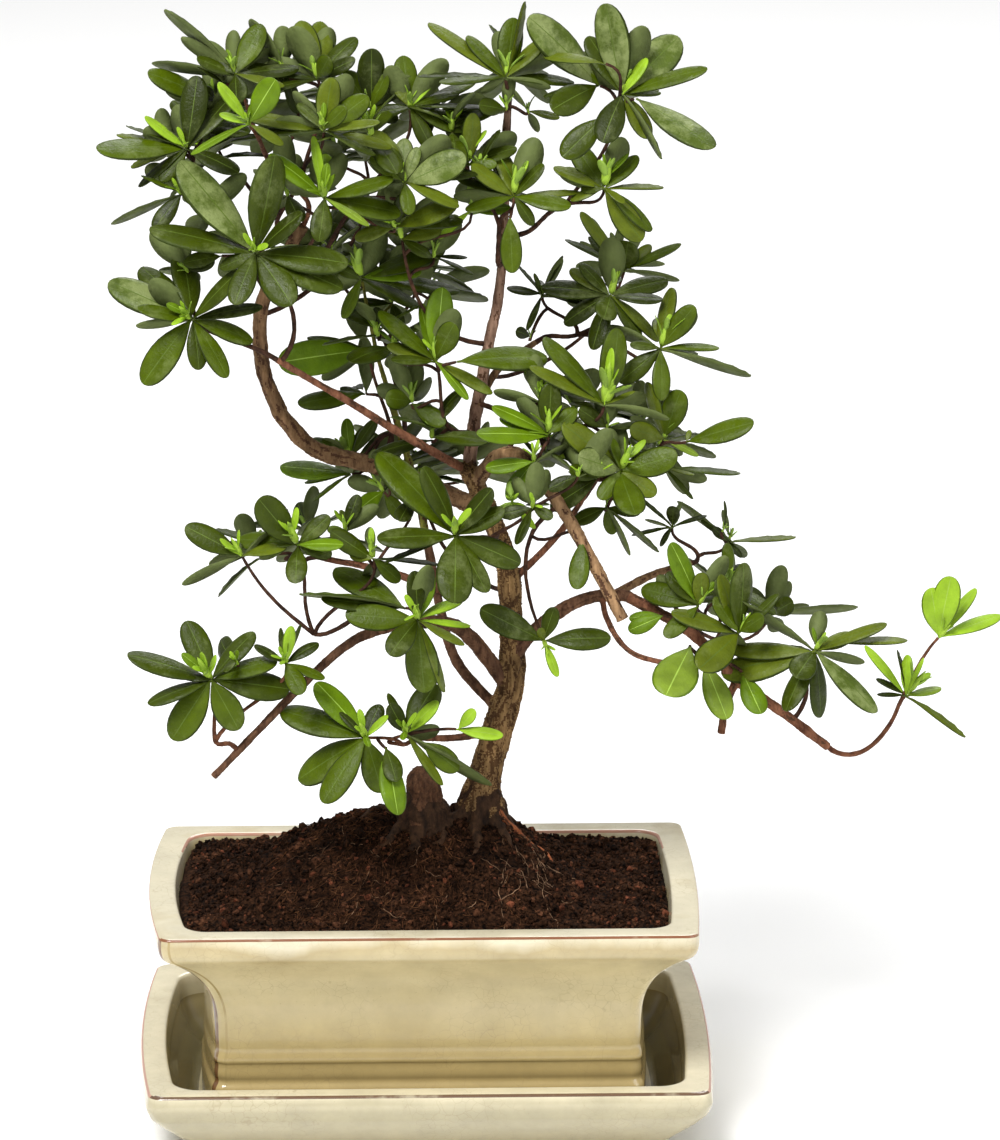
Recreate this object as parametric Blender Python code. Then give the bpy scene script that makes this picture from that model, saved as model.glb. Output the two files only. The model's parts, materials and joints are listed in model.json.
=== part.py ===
"""Azalea bonsai in a glazed pot that stands in its drip tray.

X runs along the pot, Y towards its back and Z up. The origin is the centre of the tray's flat
underside. Sizes are in millimetres, and vertices are turned into metres as they are made.
"""

import math
import random
from collections import namedtuple

import bmesh
import bpy
from mathutils import Quaternion, Vector
from mathutils.bvhtree import BVHTree

MM = 0.001
CLEAR = 0.3  # gap between two pieces that rest on or grow out of each other
UP = Vector((0, 0, 1))

# ---------------------------------------------------------------- pot and tray sizes

TRAY_LENGTH = 205  # over the corners of the rim
TRAY_DEPTH = 154
TRAY_HEIGHT = 30
TRAY_BOW = 5.5  # how far the short ends bulge past their corners
TRAY_RIM = 9.5
TRAY_FLOOR = 6
TRAY_CORNER, TRAY_INNER_CORNER = 5, 10
TRAY_FOOT = 20.5  # how far the underside's edge lies inside the rim's
RIM_ROUNDING = 1
# Walls as heights and insets from the rim's corners: up the outside and down the inside.
TRAY_OUTSIDE = (
    (0, TRAY_FOOT), (1.5, TRAY_FOOT - 2), (8, 12), (15, 5), (20, 0.8), (25, -1),
    (TRAY_HEIGHT - RIM_ROUNDING, 0), (TRAY_HEIGHT, RIM_ROUNDING),
)
TRAY_INSIDE = (
    (TRAY_HEIGHT, TRAY_RIM - RIM_ROUNDING), (TRAY_HEIGHT - RIM_ROUNDING, TRAY_RIM),
    (20, TRAY_RIM + 1), (13, TRAY_RIM + 4), (TRAY_FLOOR + 1, TRAY_RIM + 9),
    (TRAY_FLOOR, TRAY_RIM + 12),
)

POT_LENGTH = 200
POT_DEPTH = 138
POT_HEIGHT = 83
POT_BOW = 4
POT_RIM = 10
POT_FLOOR = 8
POT_CORNER, POT_INNER_CORNER = 4, 8
POT_FLARE = 20.5  # how far the lip stands out over the waist
POT_WAIST = 37  # height at which the sides start to flare
FLARE_STEPS = (0, 0.3, 0.5, 0.65, 0.78, 0.9)  # shares of the height from waist to lip
LIP_HEIGHT = 7
LIP_STEP = 0.8  # how far the lip's lower edge stands out past the rim
FOOT_HEIGHT = 11
FOOT_STEP = 1.4  # how far the foot moulding stands out
SOIL_DROP = 5  # soil's edge below the rim
POT_INSIDE = (
    (POT_HEIGHT - SOIL_DROP, POT_RIM + 1), (POT_HEIGHT - 10, POT_RIM + 2),
    (POT_HEIGHT - 17, POT_RIM + 7.5), (POT_HEIGHT - 27, POT_RIM + 14.5),
    (POT_HEIGHT - 40, POT_RIM + 17.5), (POT_FLOOR, POT_RIM + 18.5),
)

POT_BASE_Z = TRAY_FLOOR + CLEAR
SOIL_Z = POT_BASE_Z + POT_HEIGHT - SOIL_DROP
GROUND_Z = 120  # top of the root mound, where the stems stand
MOUND_MIDDLE = Vector((9, -2, 0))
MOUND_TOP = (26, 17)  # half sizes of the mound's flat top
MOUND_FOOT = 0.3  # share of the way from the wall to that top where the mound starts to rise
MOUND_FALL = 0.1  # share of its height that lies outside that foot
MOUND_STEPS = 6
SOIL_SIDE_STEPS = 6

CORNER_STEPS = 2
END_STEPS = 4  # straight lengths that a bowed short end is made of

# ---------------------------------------------------------------- growth sizes

LIMB_SIDES = 8
THIN_LIMB_SIDES = 6  # of a limb whose radius is under THIN_LIMB
THIN_LIMB = 2
TWIG_SIDES = 3
LIMB_STEPS = 2  # straight lengths between two guide points of a limb
ROOT_FLARE, ROOT_FLARE_HEIGHT = 3, 6
ARC_PULL = 0.42  # how far a twig keeps its first heading, as a share of its length
TWIG_STEPS = 3
STEM_STEPS = 2
STEM_RADIUS = 1.35
STEM_FOOT = 1.5  # straight length with which a mass's stem leaves its limb
STEM_GAP = CLEAR + 0.06  # from the limb to that stem
FORK_SHARE, FORK_DROP = 0.55, 3  # where a stem forks on its way to the mass's centre
HUB_SWAY = 2  # most that a whorl lies off its place along each axis
AXIS_SWAY = 0.15  # most that a twig's tip leans at random
BEND = 0.08  # added to the sideways bend of a stem at each new try
BEND_REACH = 10  # how far that bend moves a stem's fork
TWIG_RADIUS = 0.85
TWIG_TRIES = 12  # how often a twig that touches something is bent another way
BUD_RADIUS, BUD_TIP = 2.1, 0.35
BUD_LENGTH = 13
BUD_SIDES = 4
BUD_FOOT = 1.5  # how far a bud's wide end lies below its lowest leaf

LEAF_LENGTH = 28
LEAF_WIDTH = 0.45  # of its length
LEAF_THICKNESS = 1.1
LEAF_DROOP = 0.09  # of its length, at the tip
LEAF_WIDEST, LEAF_TIP_WIDTH = 0.6, 0.4  # shares of its length and of its width
LEAF_ROOT = 0.5  # how near to its twig's own line a leaf's root lies, well inside the bud
WHORL_LEAVES = 7
WHORL_RISE = 4.5  # height of twig that a whorl's leaves climb
LOW_PITCH, TOP_PITCH = math.radians(96), math.radians(50)  # between leaf and twig
LEAF_ROLL = 0.35  # most that a leaf turns about its own midrib
TURN_SWAY, PITCH_SWAY, LENGTH_SWAY = 0.15, 0.12, 0.14
TOP_LENGTH = 0.7  # length of a whorl's topmost leaf against its lowest
CROWN_AXIS = 20  # x of the line that twigs lean away from
CROWN_HALF = (150, 65)  # reach at which they lean by LEAN
LEAN = 0.7
GOLDEN_ANGLE = math.pi * (3 - math.sqrt(5))
TURNS_TRIED = 5  # how often a leaf that touches something is turned before it is skipped
TURN_TRY = 0.16
FIRST_SEED = 100

# Limbs: the limb each grows from, the guide points of its centreline, its radii at both ends.
Limb = namedtuple("Limb", "parent points start end")

LIMBS = {
    "trunk": Limb(
        None,
        ((21, 0, 120), (21, 0, 122), (21, 0, 126), (26, 0, 149), (31, 0, 166), (32, 1, 182), (32, 2, 199),
         (30, 3, 216), (24, 4, 233), (16, 4, 250)),
        6.9, 3.7),
    "cut_stump": Limb(None, ((-1, -5, 120), (-1, -5, 122), (-1, -5, 126), (-3, -7, 136)), 6.9, 4.6),
    "leader": Limb(
        "trunk",
        ((16, 4, 247), (19, 6, 270), (24, 8, 297), (28, 10, 317), (30, 12, 345), (30, 12, 370),
         (31, 10, 386)),
        2.6, 1.2),
    "left_bough_sweep": Limb(
        "trunk", ((24, 4, 232), (8, 13, 238), (-17, 22, 246), (-39, 24, 254), (-52, 24, 267)),
        3.2, 2.7),
    "left_bough_rise": Limb(
        "left_bough_sweep",
        ((-52, 24, 267), (-58, 22, 286), (-59, 20, 308), (-53, 16, 325), (-45, 12, 342)),
        2.7, 2.0),
    "thin_left_bough": Limb(
        "trunk", ((16, 4, 249), (-10, -14, 269), (-28, -24, 283), (-55, -30, 301)), 1.8, 1.2),
    "inner_left_bough": Limb(
        "trunk",
        ((28, 0, 156), (12, 12, 172), (6, 22, 190), (2, 28, 210), (-3, 31, 235), (-12, 31, 268)),
        2.1, 1.4),
    "low_left_bough": Limb(
        "trunk",
        ((31, 0, 166), (17, -8, 187), (5, -16, 196), (-18, -26, 196), (-38, -32, 185),
         (-80, -42, 144)),
        3.1, 1.7),
    "low_back_bough": Limb(
        "inner_left_bough", ((5, 24, 196), (-12, 38, 200), (-38, 48, 203)), 1.6, 1.2),
    "low_front_bough": Limb("trunk", ((26, 0, 148), (11, -14, 150), (-1, -24, 153)), 1.6, 1.2),
    "cut_bough": Limb(
        "trunk",
        ((19, 4, 244), (26, -4, 256), (35, -11, 259), (44, -18, 250), (55, -24, 234),
         (73, -32, 201)),
        2.8, 2.3),
    "crossing_bough": Limb("trunk", ((31, 3, 205), (44, 5, 217), (54, 5, 229), (61, 3, 242)),
                           1.5, 1.1),
    "right_bough": Limb(
        "trunk", ((32, 0, 176), (40, -4, 188), (51, -8, 198), (62, -8, 203), (75, -6, 203)),
        2.7, 2.2),
    "right_bough_fall": Limb(
        "right_bough",
        ((75, -6, 203), (99, -19, 192), (116, -24, 175), (133, -23, 162), (151, -20, 147)),
        2.2, 1.7),
    "right_back_bough": Limb("right_bough", ((70, -6, 203), (86, 8, 207), (101, 20, 208)),
                             1.7, 1.2),
    "right_stub": Limb("right_bough_fall", ((116, -24, 175), (112, -26, 166), (110, -28, 155)),
                       1.6, 1.5),
    "loop_twig": Limb(
        "right_bough",
        ((66, -8, 203), (68, -17, 196), (75, -24, 187), (86, -26, 183), (97, -27, 182)), 1.2, 1.0),
    "upper_right_bough": Limb("leader", ((20, 6, 275), (28, 14, 286), (42, 26, 293)), 1.6, 1.2),
}

# Foliage: each mass grows from a limb, at a share of that limb's length, on one stem. Its whorls
# lie along a line through the mass's centre that reaches the spread to both sides. The tilt
# leans its twigs away from growing straight up and out.
Mass = namedtuple("Mass", "limb at centre spread whorls tilt")
NONE = (0, 0, 0)
FACING = (0, -0.6, 0)  # leans towards the front

MASSES = {
    "crown_far_left": Mass("left_bough_rise", 0.80, (-91, -5, 376), NONE, 1, FACING),
    "crown_top_left": Mass("left_bough_rise", 1.00, (-68, -10, 395), (2, -15, -8), 2, NONE),
    "crown_top": Mass("left_bough_rise", 0.93, (-40, -7, 393), (-1, -17, -10), 2, NONE),
    "crown_right": Mass("left_bough_rise", 0.86, (-7, -9, 377), (1, -11, -12), 2, NONE),
    "crown_middle": Mass("left_bough_rise", 0.72, (-36, -8, 358), NONE, 1, FACING),
    "crown_front": Mass("thin_left_bough", 0.84, (-62, -36, 343), NONE, 1, FACING),
    "crown_back_left": Mass("left_bough_rise", 0.62, (-64, 58, 372), (15, 2, 8), 2, NONE),
    "crown_back_right": Mass("left_bough_rise", 0.50, (-22, 54, 358), NONE, 1, NONE),
    "left_shoulder": Mass("thin_left_bough", 1.00, (-86, -32, 316), NONE, 1, FACING),
    "inner_crown": Mass("inner_left_bough", 1.00, (-22, 18, 312), (-3, -6, 12), 2, NONE),
    "inner_crown_right": Mass("leader", 0.36, (-7, -2, 337), NONE, 1, NONE),
    "inner_back": Mass("inner_left_bough", 0.90, (-18, 62, 315), (18, -2, -3), 2, NONE),
    "heart": Mass("leader", 0.12, (5, -6, 299), NONE, 1, NONE),
    "heart_left": Mass("left_bough_sweep", 0.50, (-24, 42, 270), NONE, 1, (-0.5, 0, 0)),
    "leader_top": Mass("leader", 1.00, (31, 8, 404), NONE, 1, NONE),
    "leader_back": Mass("leader", 0.86, (36, 50, 388), NONE, 1, NONE),
    "leader_middle": Mass("leader", 0.58, (27, -6, 364), (8, -9, -4), 2, NONE),
    "leader_right": Mass("leader", 0.50, (69, -8, 379), (2, 3, 17), 2, NONE),
    "right_upper": Mass("upper_right_bough", 1.00, (69, 14, 306), (23, -16, -5), 3, NONE),
    "right_upper_back": Mass("upper_right_bough", 0.45, (76, 58, 296), NONE, 1, NONE),
    "right_middle": Mass("cut_bough", 0.22, (66, -16, 281), NONE, 1, NONE),
    "centre": Mass("leader", 0.20, (42, -16, 276), (4, -5, -9), 2, NONE),
    "right_cluster": Mass("crossing_bough", 1.00, (81, -12, 261), (9, 12, 4), 2, NONE),
    "right_cluster_back": Mass("crossing_bough", 0.70, (75, 55, 250), (15, -3, -6), 2, NONE),
    "centre_front": Mass("trunk", 0.80, (22, -30, 237), (-12, -8, 0), 2, FACING),
    "centre_back": Mass("trunk", 0.62, (0, 58, 233), NONE, 1, NONE),
    "front_low": Mass("low_left_bough", 0.34, (-3, -42, 202), NONE, 1, FACING),
    "hanging_right": Mass("cut_bough", 0.52, (46, -22, 193), NONE, 1, (0.5, -0.5, -2)),
    "right_back": Mass("right_back_bough", 1.00, (105, 26, 216), (10, 5, -4), 2, NONE),
    "right_mass": Mass("right_bough_fall", 0.30, (110, -15, 198), (9, -6, -2), 2, NONE),
    "right_mass_back": Mass("right_back_bough", 0.70, (130, 44, 186), NONE, 1, NONE),
    "right_outer": Mass("right_bough_fall", 0.82, (146, -16, 184), NONE, 1, NONE),
    "right_under": Mass("loop_twig", 1.00, (106, -8, 170), NONE, 1, (0, -0.6, -1.6)),
    "right_tip": Mass("right_bough_fall", 1.00, (186, -12, 176), (6, 0, 12), 2, NONE),
    "low_left_back": Mass("low_back_bough", 1.00, (-56, 56, 205), (-10, -4, -3), 2, NONE),
    "low_left_top": Mass("low_left_bough", 0.44, (-46, -31, 229), (-24, -9, 2), 3, NONE),
    "low_left_outer": Mass("low_left_bough", 0.84, (-65, -41, 187), (-13, -5, 0), 2, FACING),
    "low_front": Mass("low_front_bough", 1.00, (-15, -43, 160), (-9, 2, -2), 2, FACING),
}

# ---------------------------------------------------------------- scene helpers


def clear_scene():
    for obj in list(bpy.data.objects):
        bpy.data.objects.remove(obj)


def new_collection(name, hidden=False):
    collection = bpy.data.collections.new(name)
    collection.hide_render = hidden
    bpy.context.scene.collection.children.link(collection)
    return collection


def new_material(name, colour, roughness):
    material = bpy.data.materials.new(name)
    material.use_nodes = True
    shader = material.node_tree.nodes["Principled BSDF"]
    shader.inputs["Base Color"].default_value = (*colour, 1)
    shader.inputs["Roughness"].default_value = roughness
    return material


def new_object(name, mesh, collection):
    obj = bpy.data.objects.new(name, mesh)
    collection.objects.link(obj)
    return obj


def paint(obj, material):
    obj.data.materials.clear()
    obj.data.materials.append(material)


def evaluated_mesh(obj):
    """The object's shape with its modifiers applied, and with a curve's loose caps welded on."""
    graph = bpy.context.evaluated_depsgraph_get()
    mesh = bpy.data.meshes.new_from_object(obj.evaluated_get(graph))
    shape = bmesh.new()
    shape.from_mesh(mesh)
    bmesh.ops.remove_doubles(shape, verts=shape.verts, dist=1e-7)
    bmesh.ops.recalc_face_normals(shape, faces=shape.faces)
    shape.to_mesh(mesh)
    shape.free()
    return mesh


def islands(shape):
    """The separate bodies of a bmesh, as lists of faces."""
    left = set(shape.faces)
    found = []
    while left:
        grown = [left.pop()]
        for face in grown:
            near = {other for edge in face.edges for other in edge.link_faces} & left
            left -= near
            grown.extend(near)
        found.append(grown)
    return found


def keep_main_body(mesh):
    """Drops the loose scraps that a Boolean leaves, and fills the hollows that it seals."""
    shape = bmesh.new()
    shape.from_mesh(mesh)
    bodies = sorted(islands(shape), key=lambda faces: sum(f.calc_area() for f in faces))
    scraps = [face for body in bodies[:-1] for face in body]
    bmesh.ops.delete(shape, geom=scraps, context="FACES")
    shape.to_mesh(mesh)
    shape.free()
    return mesh


def combine(obj, others, operation):
    """Joins a collection of closed meshes to the object, or cuts them from it, for good."""
    modifier = obj.modifiers.new(operation.lower(), "BOOLEAN")
    modifier.operation = operation
    modifier.operand_type = "COLLECTION"
    modifier.collection = others
    mesh = keep_main_body(evaluated_mesh(obj))
    obj.modifiers.clear()
    obj.data = mesh
    for other in list(others.objects):
        bpy.data.objects.remove(other)


# ---------------------------------------------------------------- pot, tray and soil


def level_ring(z, half_length, half_depth, corner, bow, long_steps=1):
    """One level outline: a rectangle with round corners whose short ends bow outward."""
    points = []
    for turn, (sx, sy) in enumerate(((1, 1), (-1, 1), (-1, -1), (1, -1))):
        centre = Vector((sx * (half_length - corner), sy * (half_depth - corner), z))
        for step in range(CORNER_STEPS + 1):
            angle = math.pi / 2 * (turn + step / CORNER_STEPS)
            points.append(centre + corner * Vector((math.cos(angle), math.sin(angle), 0)))
        last = points[-1]
        on_long_side = turn % 2 == 0
        following = Vector((-last.x, last.y, z)) if on_long_side else Vector((last.x, -last.y, z))
        steps = long_steps if on_long_side else END_STEPS
        points += [last.lerp(following, step / steps) for step in range(1, steps)]
    for point in points:
        if abs(point.x) > half_length - corner - 1:
            point.x += math.copysign(bow * (1 - (point.y / half_depth) ** 2), point.x)
    return points


def loft(name, rings, material, collection):
    """A closed solid whose skin runs from ring to ring and is capped at both ends."""
    shape = bmesh.new()
    loops = [[shape.verts.new(point * MM) for point in ring] for ring in rings]
    for lower, upper in zip(loops, loops[1:]):
        for i, j in zip(range(len(lower)), [*range(1, len(lower)), 0]):
            shape.faces.new((lower[i], lower[j], upper[j], upper[i]))
    shape.faces.new(loops[0])
    shape.faces.new(loops[-1])
    bmesh.ops.recalc_face_normals(shape, faces=shape.faces)
    mesh = bpy.data.meshes.new(name)
    shape.to_mesh(mesh)
    shape.free()
    obj = new_object(name, mesh, collection)
    paint(obj, material)
    return obj


def pot_ring(z, inset, corner=POT_CORNER, long_steps=1):
    """The pot's outline at a height above its underside, that far inside the rim's corners."""
    return level_ring(POT_BASE_Z + z, POT_LENGTH / 2 - inset, POT_DEPTH / 2 - inset, corner,
                      POT_BOW, long_steps)


def build_tray(glaze, collection):
    walls = [(wall, TRAY_CORNER) for wall in TRAY_OUTSIDE]
    walls += [(wall, TRAY_INNER_CORNER) for wall in TRAY_INSIDE]
    rings = [
        level_ring(z, TRAY_LENGTH / 2 - inset, TRAY_DEPTH / 2 - inset, corner, TRAY_BOW)
        for (z, inset), corner in walls
    ]
    return loft("drip_tray", rings, glaze, collection)


def build_pot(glaze, collection):
    """Foot, waist, sides that flare to a lip, level rim and inner wall."""
    lip_z = POT_HEIGHT - LIP_HEIGHT
    outside = [(0, POT_FLARE + 1), (1, POT_FLARE - FOOT_STEP), (FOOT_HEIGHT - 2, POT_FLARE - FOOT_STEP),
               (FOOT_HEIGHT, POT_FLARE)]
    outside += [(POT_WAIST + share * (lip_z - POT_WAIST), POT_FLARE * (1 - share**3))
                for share in FLARE_STEPS]
    outside += [(lip_z, 0), (lip_z + 1, -LIP_STEP), (POT_HEIGHT - RIM_ROUNDING, 0),
                (POT_HEIGHT, RIM_ROUNDING)]
    inside = [(POT_HEIGHT, POT_RIM - RIM_ROUNDING), (POT_HEIGHT - RIM_ROUNDING, POT_RIM), *POT_INSIDE]
    rings = [pot_ring(z, inset) for z, inset in outside]
    rings += [pot_ring(z, inset, POT_INNER_CORNER) for z, inset in inside]
    return loft("pot", rings, glaze, collection)


def mound_height(share):
    """Soil height from the pot's wall, at 0, to the mound's flat top, at 1."""
    climb = max(0, (share - MOUND_FOOT) / (1 - MOUND_FOOT))
    swell = climb * climb * (3 - 2 * climb)
    return SOIL_Z + (GROUND_Z - CLEAR - SOIL_Z) * (MOUND_FALL * share + (1 - MOUND_FALL) * swell)


def build_soil(earth, collection):
    """Earth that fills the pot, with a mound whose rings close in on its oval flat top."""
    rings = [
        pot_ring(z, inset + CLEAR, POT_INNER_CORNER, SOIL_SIDE_STEPS)
        for z, inset in reversed(POT_INSIDE)
    ]
    for point in rings[0]:
        point.z += CLEAR
    top_edge = rings[-1]
    for step in range(1, MOUND_STEPS + 1):
        share = step / MOUND_STEPS
        ring = []
        for point in top_edge:
            angle = math.atan2(point.y, point.x)
            summit = MOUND_MIDDLE + Vector((MOUND_TOP[0] * math.cos(angle),
                                            MOUND_TOP[1] * math.sin(angle), 0))
            place = point.lerp(summit, share)
            place.z = mound_height(share)
            ring.append(place)
        rings.append(ring)
    return loft("soil", rings, earth, collection)


# ---------------------------------------------------------------- limbs


def smooth_line(points, steps):
    """A Catmull-Rom curve through the guide points."""
    guide = [Vector(p) for p in points]
    padded = [guide[0] * 2 - guide[1], *guide, guide[-1] * 2 - guide[-2]]
    line = []
    for a, b, c, d in zip(padded, padded[1:], padded[2:], padded[3:]):
        for step in range(steps):
            t = step / steps
            line.append(0.5 * (2 * b + (c - a) * t + (2 * a - 5 * b + 4 * c - d) * t * t
                               + (3 * b - a - 3 * c + d) * t**3))
    return [*line, guide[-1]]


def arc_line(start, heading, end, arrival, steps):
    """A curve that leaves start along one direction and reaches end along another."""
    reach = (end - start).length * ARC_PULL
    first, second = start + heading * reach, end - arrival * reach
    line = []
    for step in range(steps + 1):
        t = step / steps
        line.append(start * (1 - t)**3 + first * (3 * t * (1 - t)**2)
                    + second * (3 * t * t * (1 - t)) + end * t**3)
    return line


def along(line, radii, share):
    """The point, the heading and the radius at a share of a tapering line's length."""
    lengths = [(b - a).length for a, b in zip(line, line[1:])]
    left = share * sum(lengths)
    i = 0
    while i < len(lengths) - 1 and left > lengths[i]:
        left -= lengths[i]
        i += 1
    part = min(left / lengths[i], 1)
    heading = (line[i + 1] - line[i]).normalized()
    return line[i].lerp(line[i + 1], part), heading, radii[i] + (radii[i + 1] - radii[i]) * part


def limb_radii(limb, line, foot):
    """Radii that taper evenly, with a root flare on a stem that stands on the ground."""
    radii = []
    for i, point in enumerate(line):
        radius = limb.start + (limb.end - limb.start) * i / (len(line) - 1)
        if foot:
            radius += ROOT_FLARE * math.exp((GROUND_Z - point.z) / ROOT_FLARE_HEIGHT)
        radii.append(radius)
    return radii


def ring_profile(sides, guides):
    """The unit outline that a limb's curve is bevelled with."""
    data = bpy.data.curves.new(f"profile_{sides}", "CURVE")
    data.dimensions = "2D"
    spline = data.splines.new("POLY")
    spline.points.add(sides - 1)
    for i, point in enumerate(spline.points):
        angle = math.tau * i / sides
        point.co = (math.cos(angle) * MM, math.sin(angle) * MM, 0, 1)
    spline.use_cyclic_u = True
    obj = new_object(data.name, data, guides)
    obj.hide_render = True
    obj.display_type = "WIRE"
    return obj


def tube(name, line, radii, profile, collection):
    """A mesh object of a tapering tube with closed ends."""
    data = bpy.data.curves.new(name, "CURVE")
    data.dimensions = "3D"
    data.bevel_mode = "OBJECT"
    data.bevel_object = profile
    data.use_fill_caps = True
    spline = data.splines.new("POLY")
    spline.points.add(len(line) - 1)
    for point, place, radius in zip(spline.points, line, radii):
        point.co = (*(place * MM), 1)
        point.radius = radius
    curve = new_object(name + "_curve", data, collection)
    mesh = evaluated_mesh(curve)
    bpy.data.objects.remove(curve)
    return new_object(name, mesh, collection)


def swollen(line, radii, by):
    """The same line and radii, larger all round and at the far end by a clearance."""
    heading = (line[-1] - line[-2]).normalized()
    return [*line[:-1], line[-1] + heading * by], [radius + by for radius in radii]


def shape_of(obj):
    """An object's vertices, in millimetres, and its faces."""
    return [v.co / MM for v in obj.data.vertices], [list(p.vertices) for p in obj.data.polygons]


class Obstacles:
    """Every tube and leaf placed so far, so that a new one can be tested against them."""

    def __init__(self):
        self.held = []

    def add(self, owner, vertices, faces):
        low = [min(v[k] for v in vertices) for k in range(3)]
        high = [max(v[k] for v in vertices) for k in range(3)]
        self.held.append((owner, low, high, BVHTree.FromPolygons(vertices, faces)))

    def add_tube(self, owner, line, radii, profile, collection):
        grown = tube("swollen", *swollen(line, radii, CLEAR), profile, collection)
        self.add(owner, *shape_of(grown))
        bpy.data.objects.remove(grown)

    def touched(self, owners, vertices, faces):
        """Names of what these faces cut into, apart from the owners given."""
        low = [min(v[k] for v in vertices) for k in range(3)]
        high = [max(v[k] for v in vertices) for k in range(3)]
        tree = None
        names = []
        for owner, held_low, held_high, held_tree in self.held:
            if owner in owners or any(
                low[k] > held_high[k] or high[k] < held_low[k] for k in range(3)
            ):
                continue
            tree = tree or BVHTree.FromPolygons(vertices, faces)
            if tree.overlap(held_tree):
                names.append(owner)
        return names


def build_limbs(bark, profiles, collection, cutters, obstacles):
    """Each limb as its own solid, cut 0.3 mm clear of those that it grows from or crosses."""
    built = {}
    for name, limb in LIMBS.items():
        profile = profiles[THIN_LIMB_SIDES if limb.start < THIN_LIMB else LIMB_SIDES]
        line = smooth_line(limb.points, LIMB_STEPS)
        radii = limb_radii(limb, line, limb.parent is None)
        obj = tube(name, line, radii, profile, collection)
        if limb.parent:
            for other, (other_line, other_radii, other_profile) in built.items():
                space = swollen(other_line, other_radii, CLEAR)
                tube(other + "_space", *space, other_profile, cutters)
            combine(obj, cutters, "DIFFERENCE")
        paint(obj, bark)
        built[name] = (line, radii, profile)
        obstacles.add_tube(name, line, radii, profile, cutters)
    return {name: (line, radii) for name, (line, radii, profile) in built.items()}


# ---------------------------------------------------------------- foliage

Whorl = namedtuple("Whorl", "hub axis twig")
Leaf = namedtuple("Leaf", "root direction normal length width")
LEAF_FACES = tuple(
    face for i in range(5) for face in ((i, (i + 1) % 5, 5), ((i + 1) % 5, i, 6))
)


def random_vector(rng, most):
    return Vector([rng.uniform(-most, most) for _ in range(3)])


def twig_axis(hub, tilt, rng):
    """The way a twig's tip points: up, out from the crown's middle and by the mass's tilt."""
    outward = Vector(((hub.x - CROWN_AXIS) / CROWN_HALF[0], hub.y / CROWN_HALF[1], 0)) * LEAN
    return (UP + outward + Vector(tilt) + random_vector(rng, AXIS_SWAY)).normalized()


def grow_twigs(mass, limb_line, limb_radii, bend, rng):
    """The mass's stem and the whorls at the ends of its twigs."""
    start, heading, radius = along(limb_line, limb_radii, mass.at)
    centre, spread = Vector(mass.centre), Vector(mass.spread)
    if mass.at == 1:
        leaving = heading
        foot = start + heading * STEM_GAP
    else:
        side = (centre - start).normalized() + random_vector(rng, bend)
        leaving = (side - heading * side.dot(heading)).normalized()
        foot = start + leaving * (radius + STEM_GAP)
    start = foot + leaving * STEM_FOOT
    hubs = []
    for i in range(mass.whorls):
        share = 2 * i / (mass.whorls - 1) - 1 if mass.whorls > 1 else 0
        hubs.append(centre + spread * share + random_vector(rng, HUB_SWAY))
    if mass.whorls == 1:
        axis = twig_axis(hubs[0], mass.tilt, rng)
        twig = [foot, *arc_line(start, leaving, hubs[0], axis, TWIG_STEPS)]
        return None, [Whorl(hubs[0], axis, twig)]
    fork = start.lerp(centre, FORK_SHARE) - UP * FORK_DROP + random_vector(rng, bend * BEND_REACH)
    stem = [foot, *arc_line(start, leaving, fork, (centre - start).normalized(), STEM_STEPS)]
    stem_end = (stem[-1] - stem[-2]).normalized()
    whorls = []
    for hub in hubs:
        axis = twig_axis(hub, mass.tilt, rng)
        leaving = (stem_end + (hub - fork).normalized()).normalized()
        whorls.append(Whorl(hub, axis, arc_line(fork, leaving, hub, axis, TWIG_STEPS)))
    return stem, whorls


def grow_leaves(whorl, rng):
    """Leaves that climb the twig's tip by the golden angle, from long and level to short and steep."""
    side = whorl.axis.orthogonal().normalized()
    other = whorl.axis.cross(side)
    first_turn = rng.uniform(0, math.tau)
    for i in range(WHORL_LEAVES):
        share = i / (WHORL_LEAVES - 1)
        turn = first_turn + i * GOLDEN_ANGLE + rng.uniform(-TURN_SWAY, TURN_SWAY)
        pitch = LOW_PITCH + (TOP_PITCH - LOW_PITCH) * share + rng.uniform(-PITCH_SWAY, PITCH_SWAY)
        length = LEAF_LENGTH * (1 + (TOP_LENGTH - 1) * share)
        length *= rng.uniform(1 - LENGTH_SWAY, 1 + LENGTH_SWAY)
        roll = rng.uniform(-LEAF_ROLL, LEAF_ROLL)
        options = []
        for attempt in range(TURNS_TRIED):
            swing = turn + TURN_TRY * attempt * (-1) ** attempt
            outward = side * math.cos(swing) + other * math.sin(swing)
            direction = whorl.axis * math.cos(pitch) + outward * math.sin(pitch)
            normal = (whorl.axis - direction * whorl.axis.dot(direction)).normalized()
            normal.rotate(Quaternion(direction, roll))
            root = whorl.hub + whorl.axis * (WHORL_RISE * share) + direction * LEAF_ROOT
            options.append(Leaf(root, direction, normal, length, length * LEAF_WIDTH))
        yield options


def leaf_vertices(leaf, grow=0.0):
    """A leaf that widens to a blunt, drooping tip: five outline points and a ridge each side."""
    side = leaf.direction.cross(leaf.normal)
    half = leaf.width / 2 + grow
    thick = LEAF_THICKNESS / 2 + grow
    length = leaf.length + grow

    def point(along_it, across, above):
        return leaf.root + leaf.direction * along_it + side * across + leaf.normal * above

    widest, tip_half, tip_drop = LEAF_WIDEST * length, LEAF_TIP_WIDTH * half, LEAF_DROOP * length
    return [
        point(0, 0, 0),
        point(widest, half, 0),
        point(length, tip_half, -tip_drop),
        point(length, -tip_half, -tip_drop),
        point(widest, -half, 0),
        point(length / 2, 0, thick),
        point(length / 2, 0, -thick),
    ]


def leaf_object(leaf, collection):
    mesh = bpy.data.meshes.new("leaf")
    mesh.from_pydata([v * MM for v in leaf_vertices(leaf)], [], LEAF_FACES)
    return new_object("leaf", mesh, collection)


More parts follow.
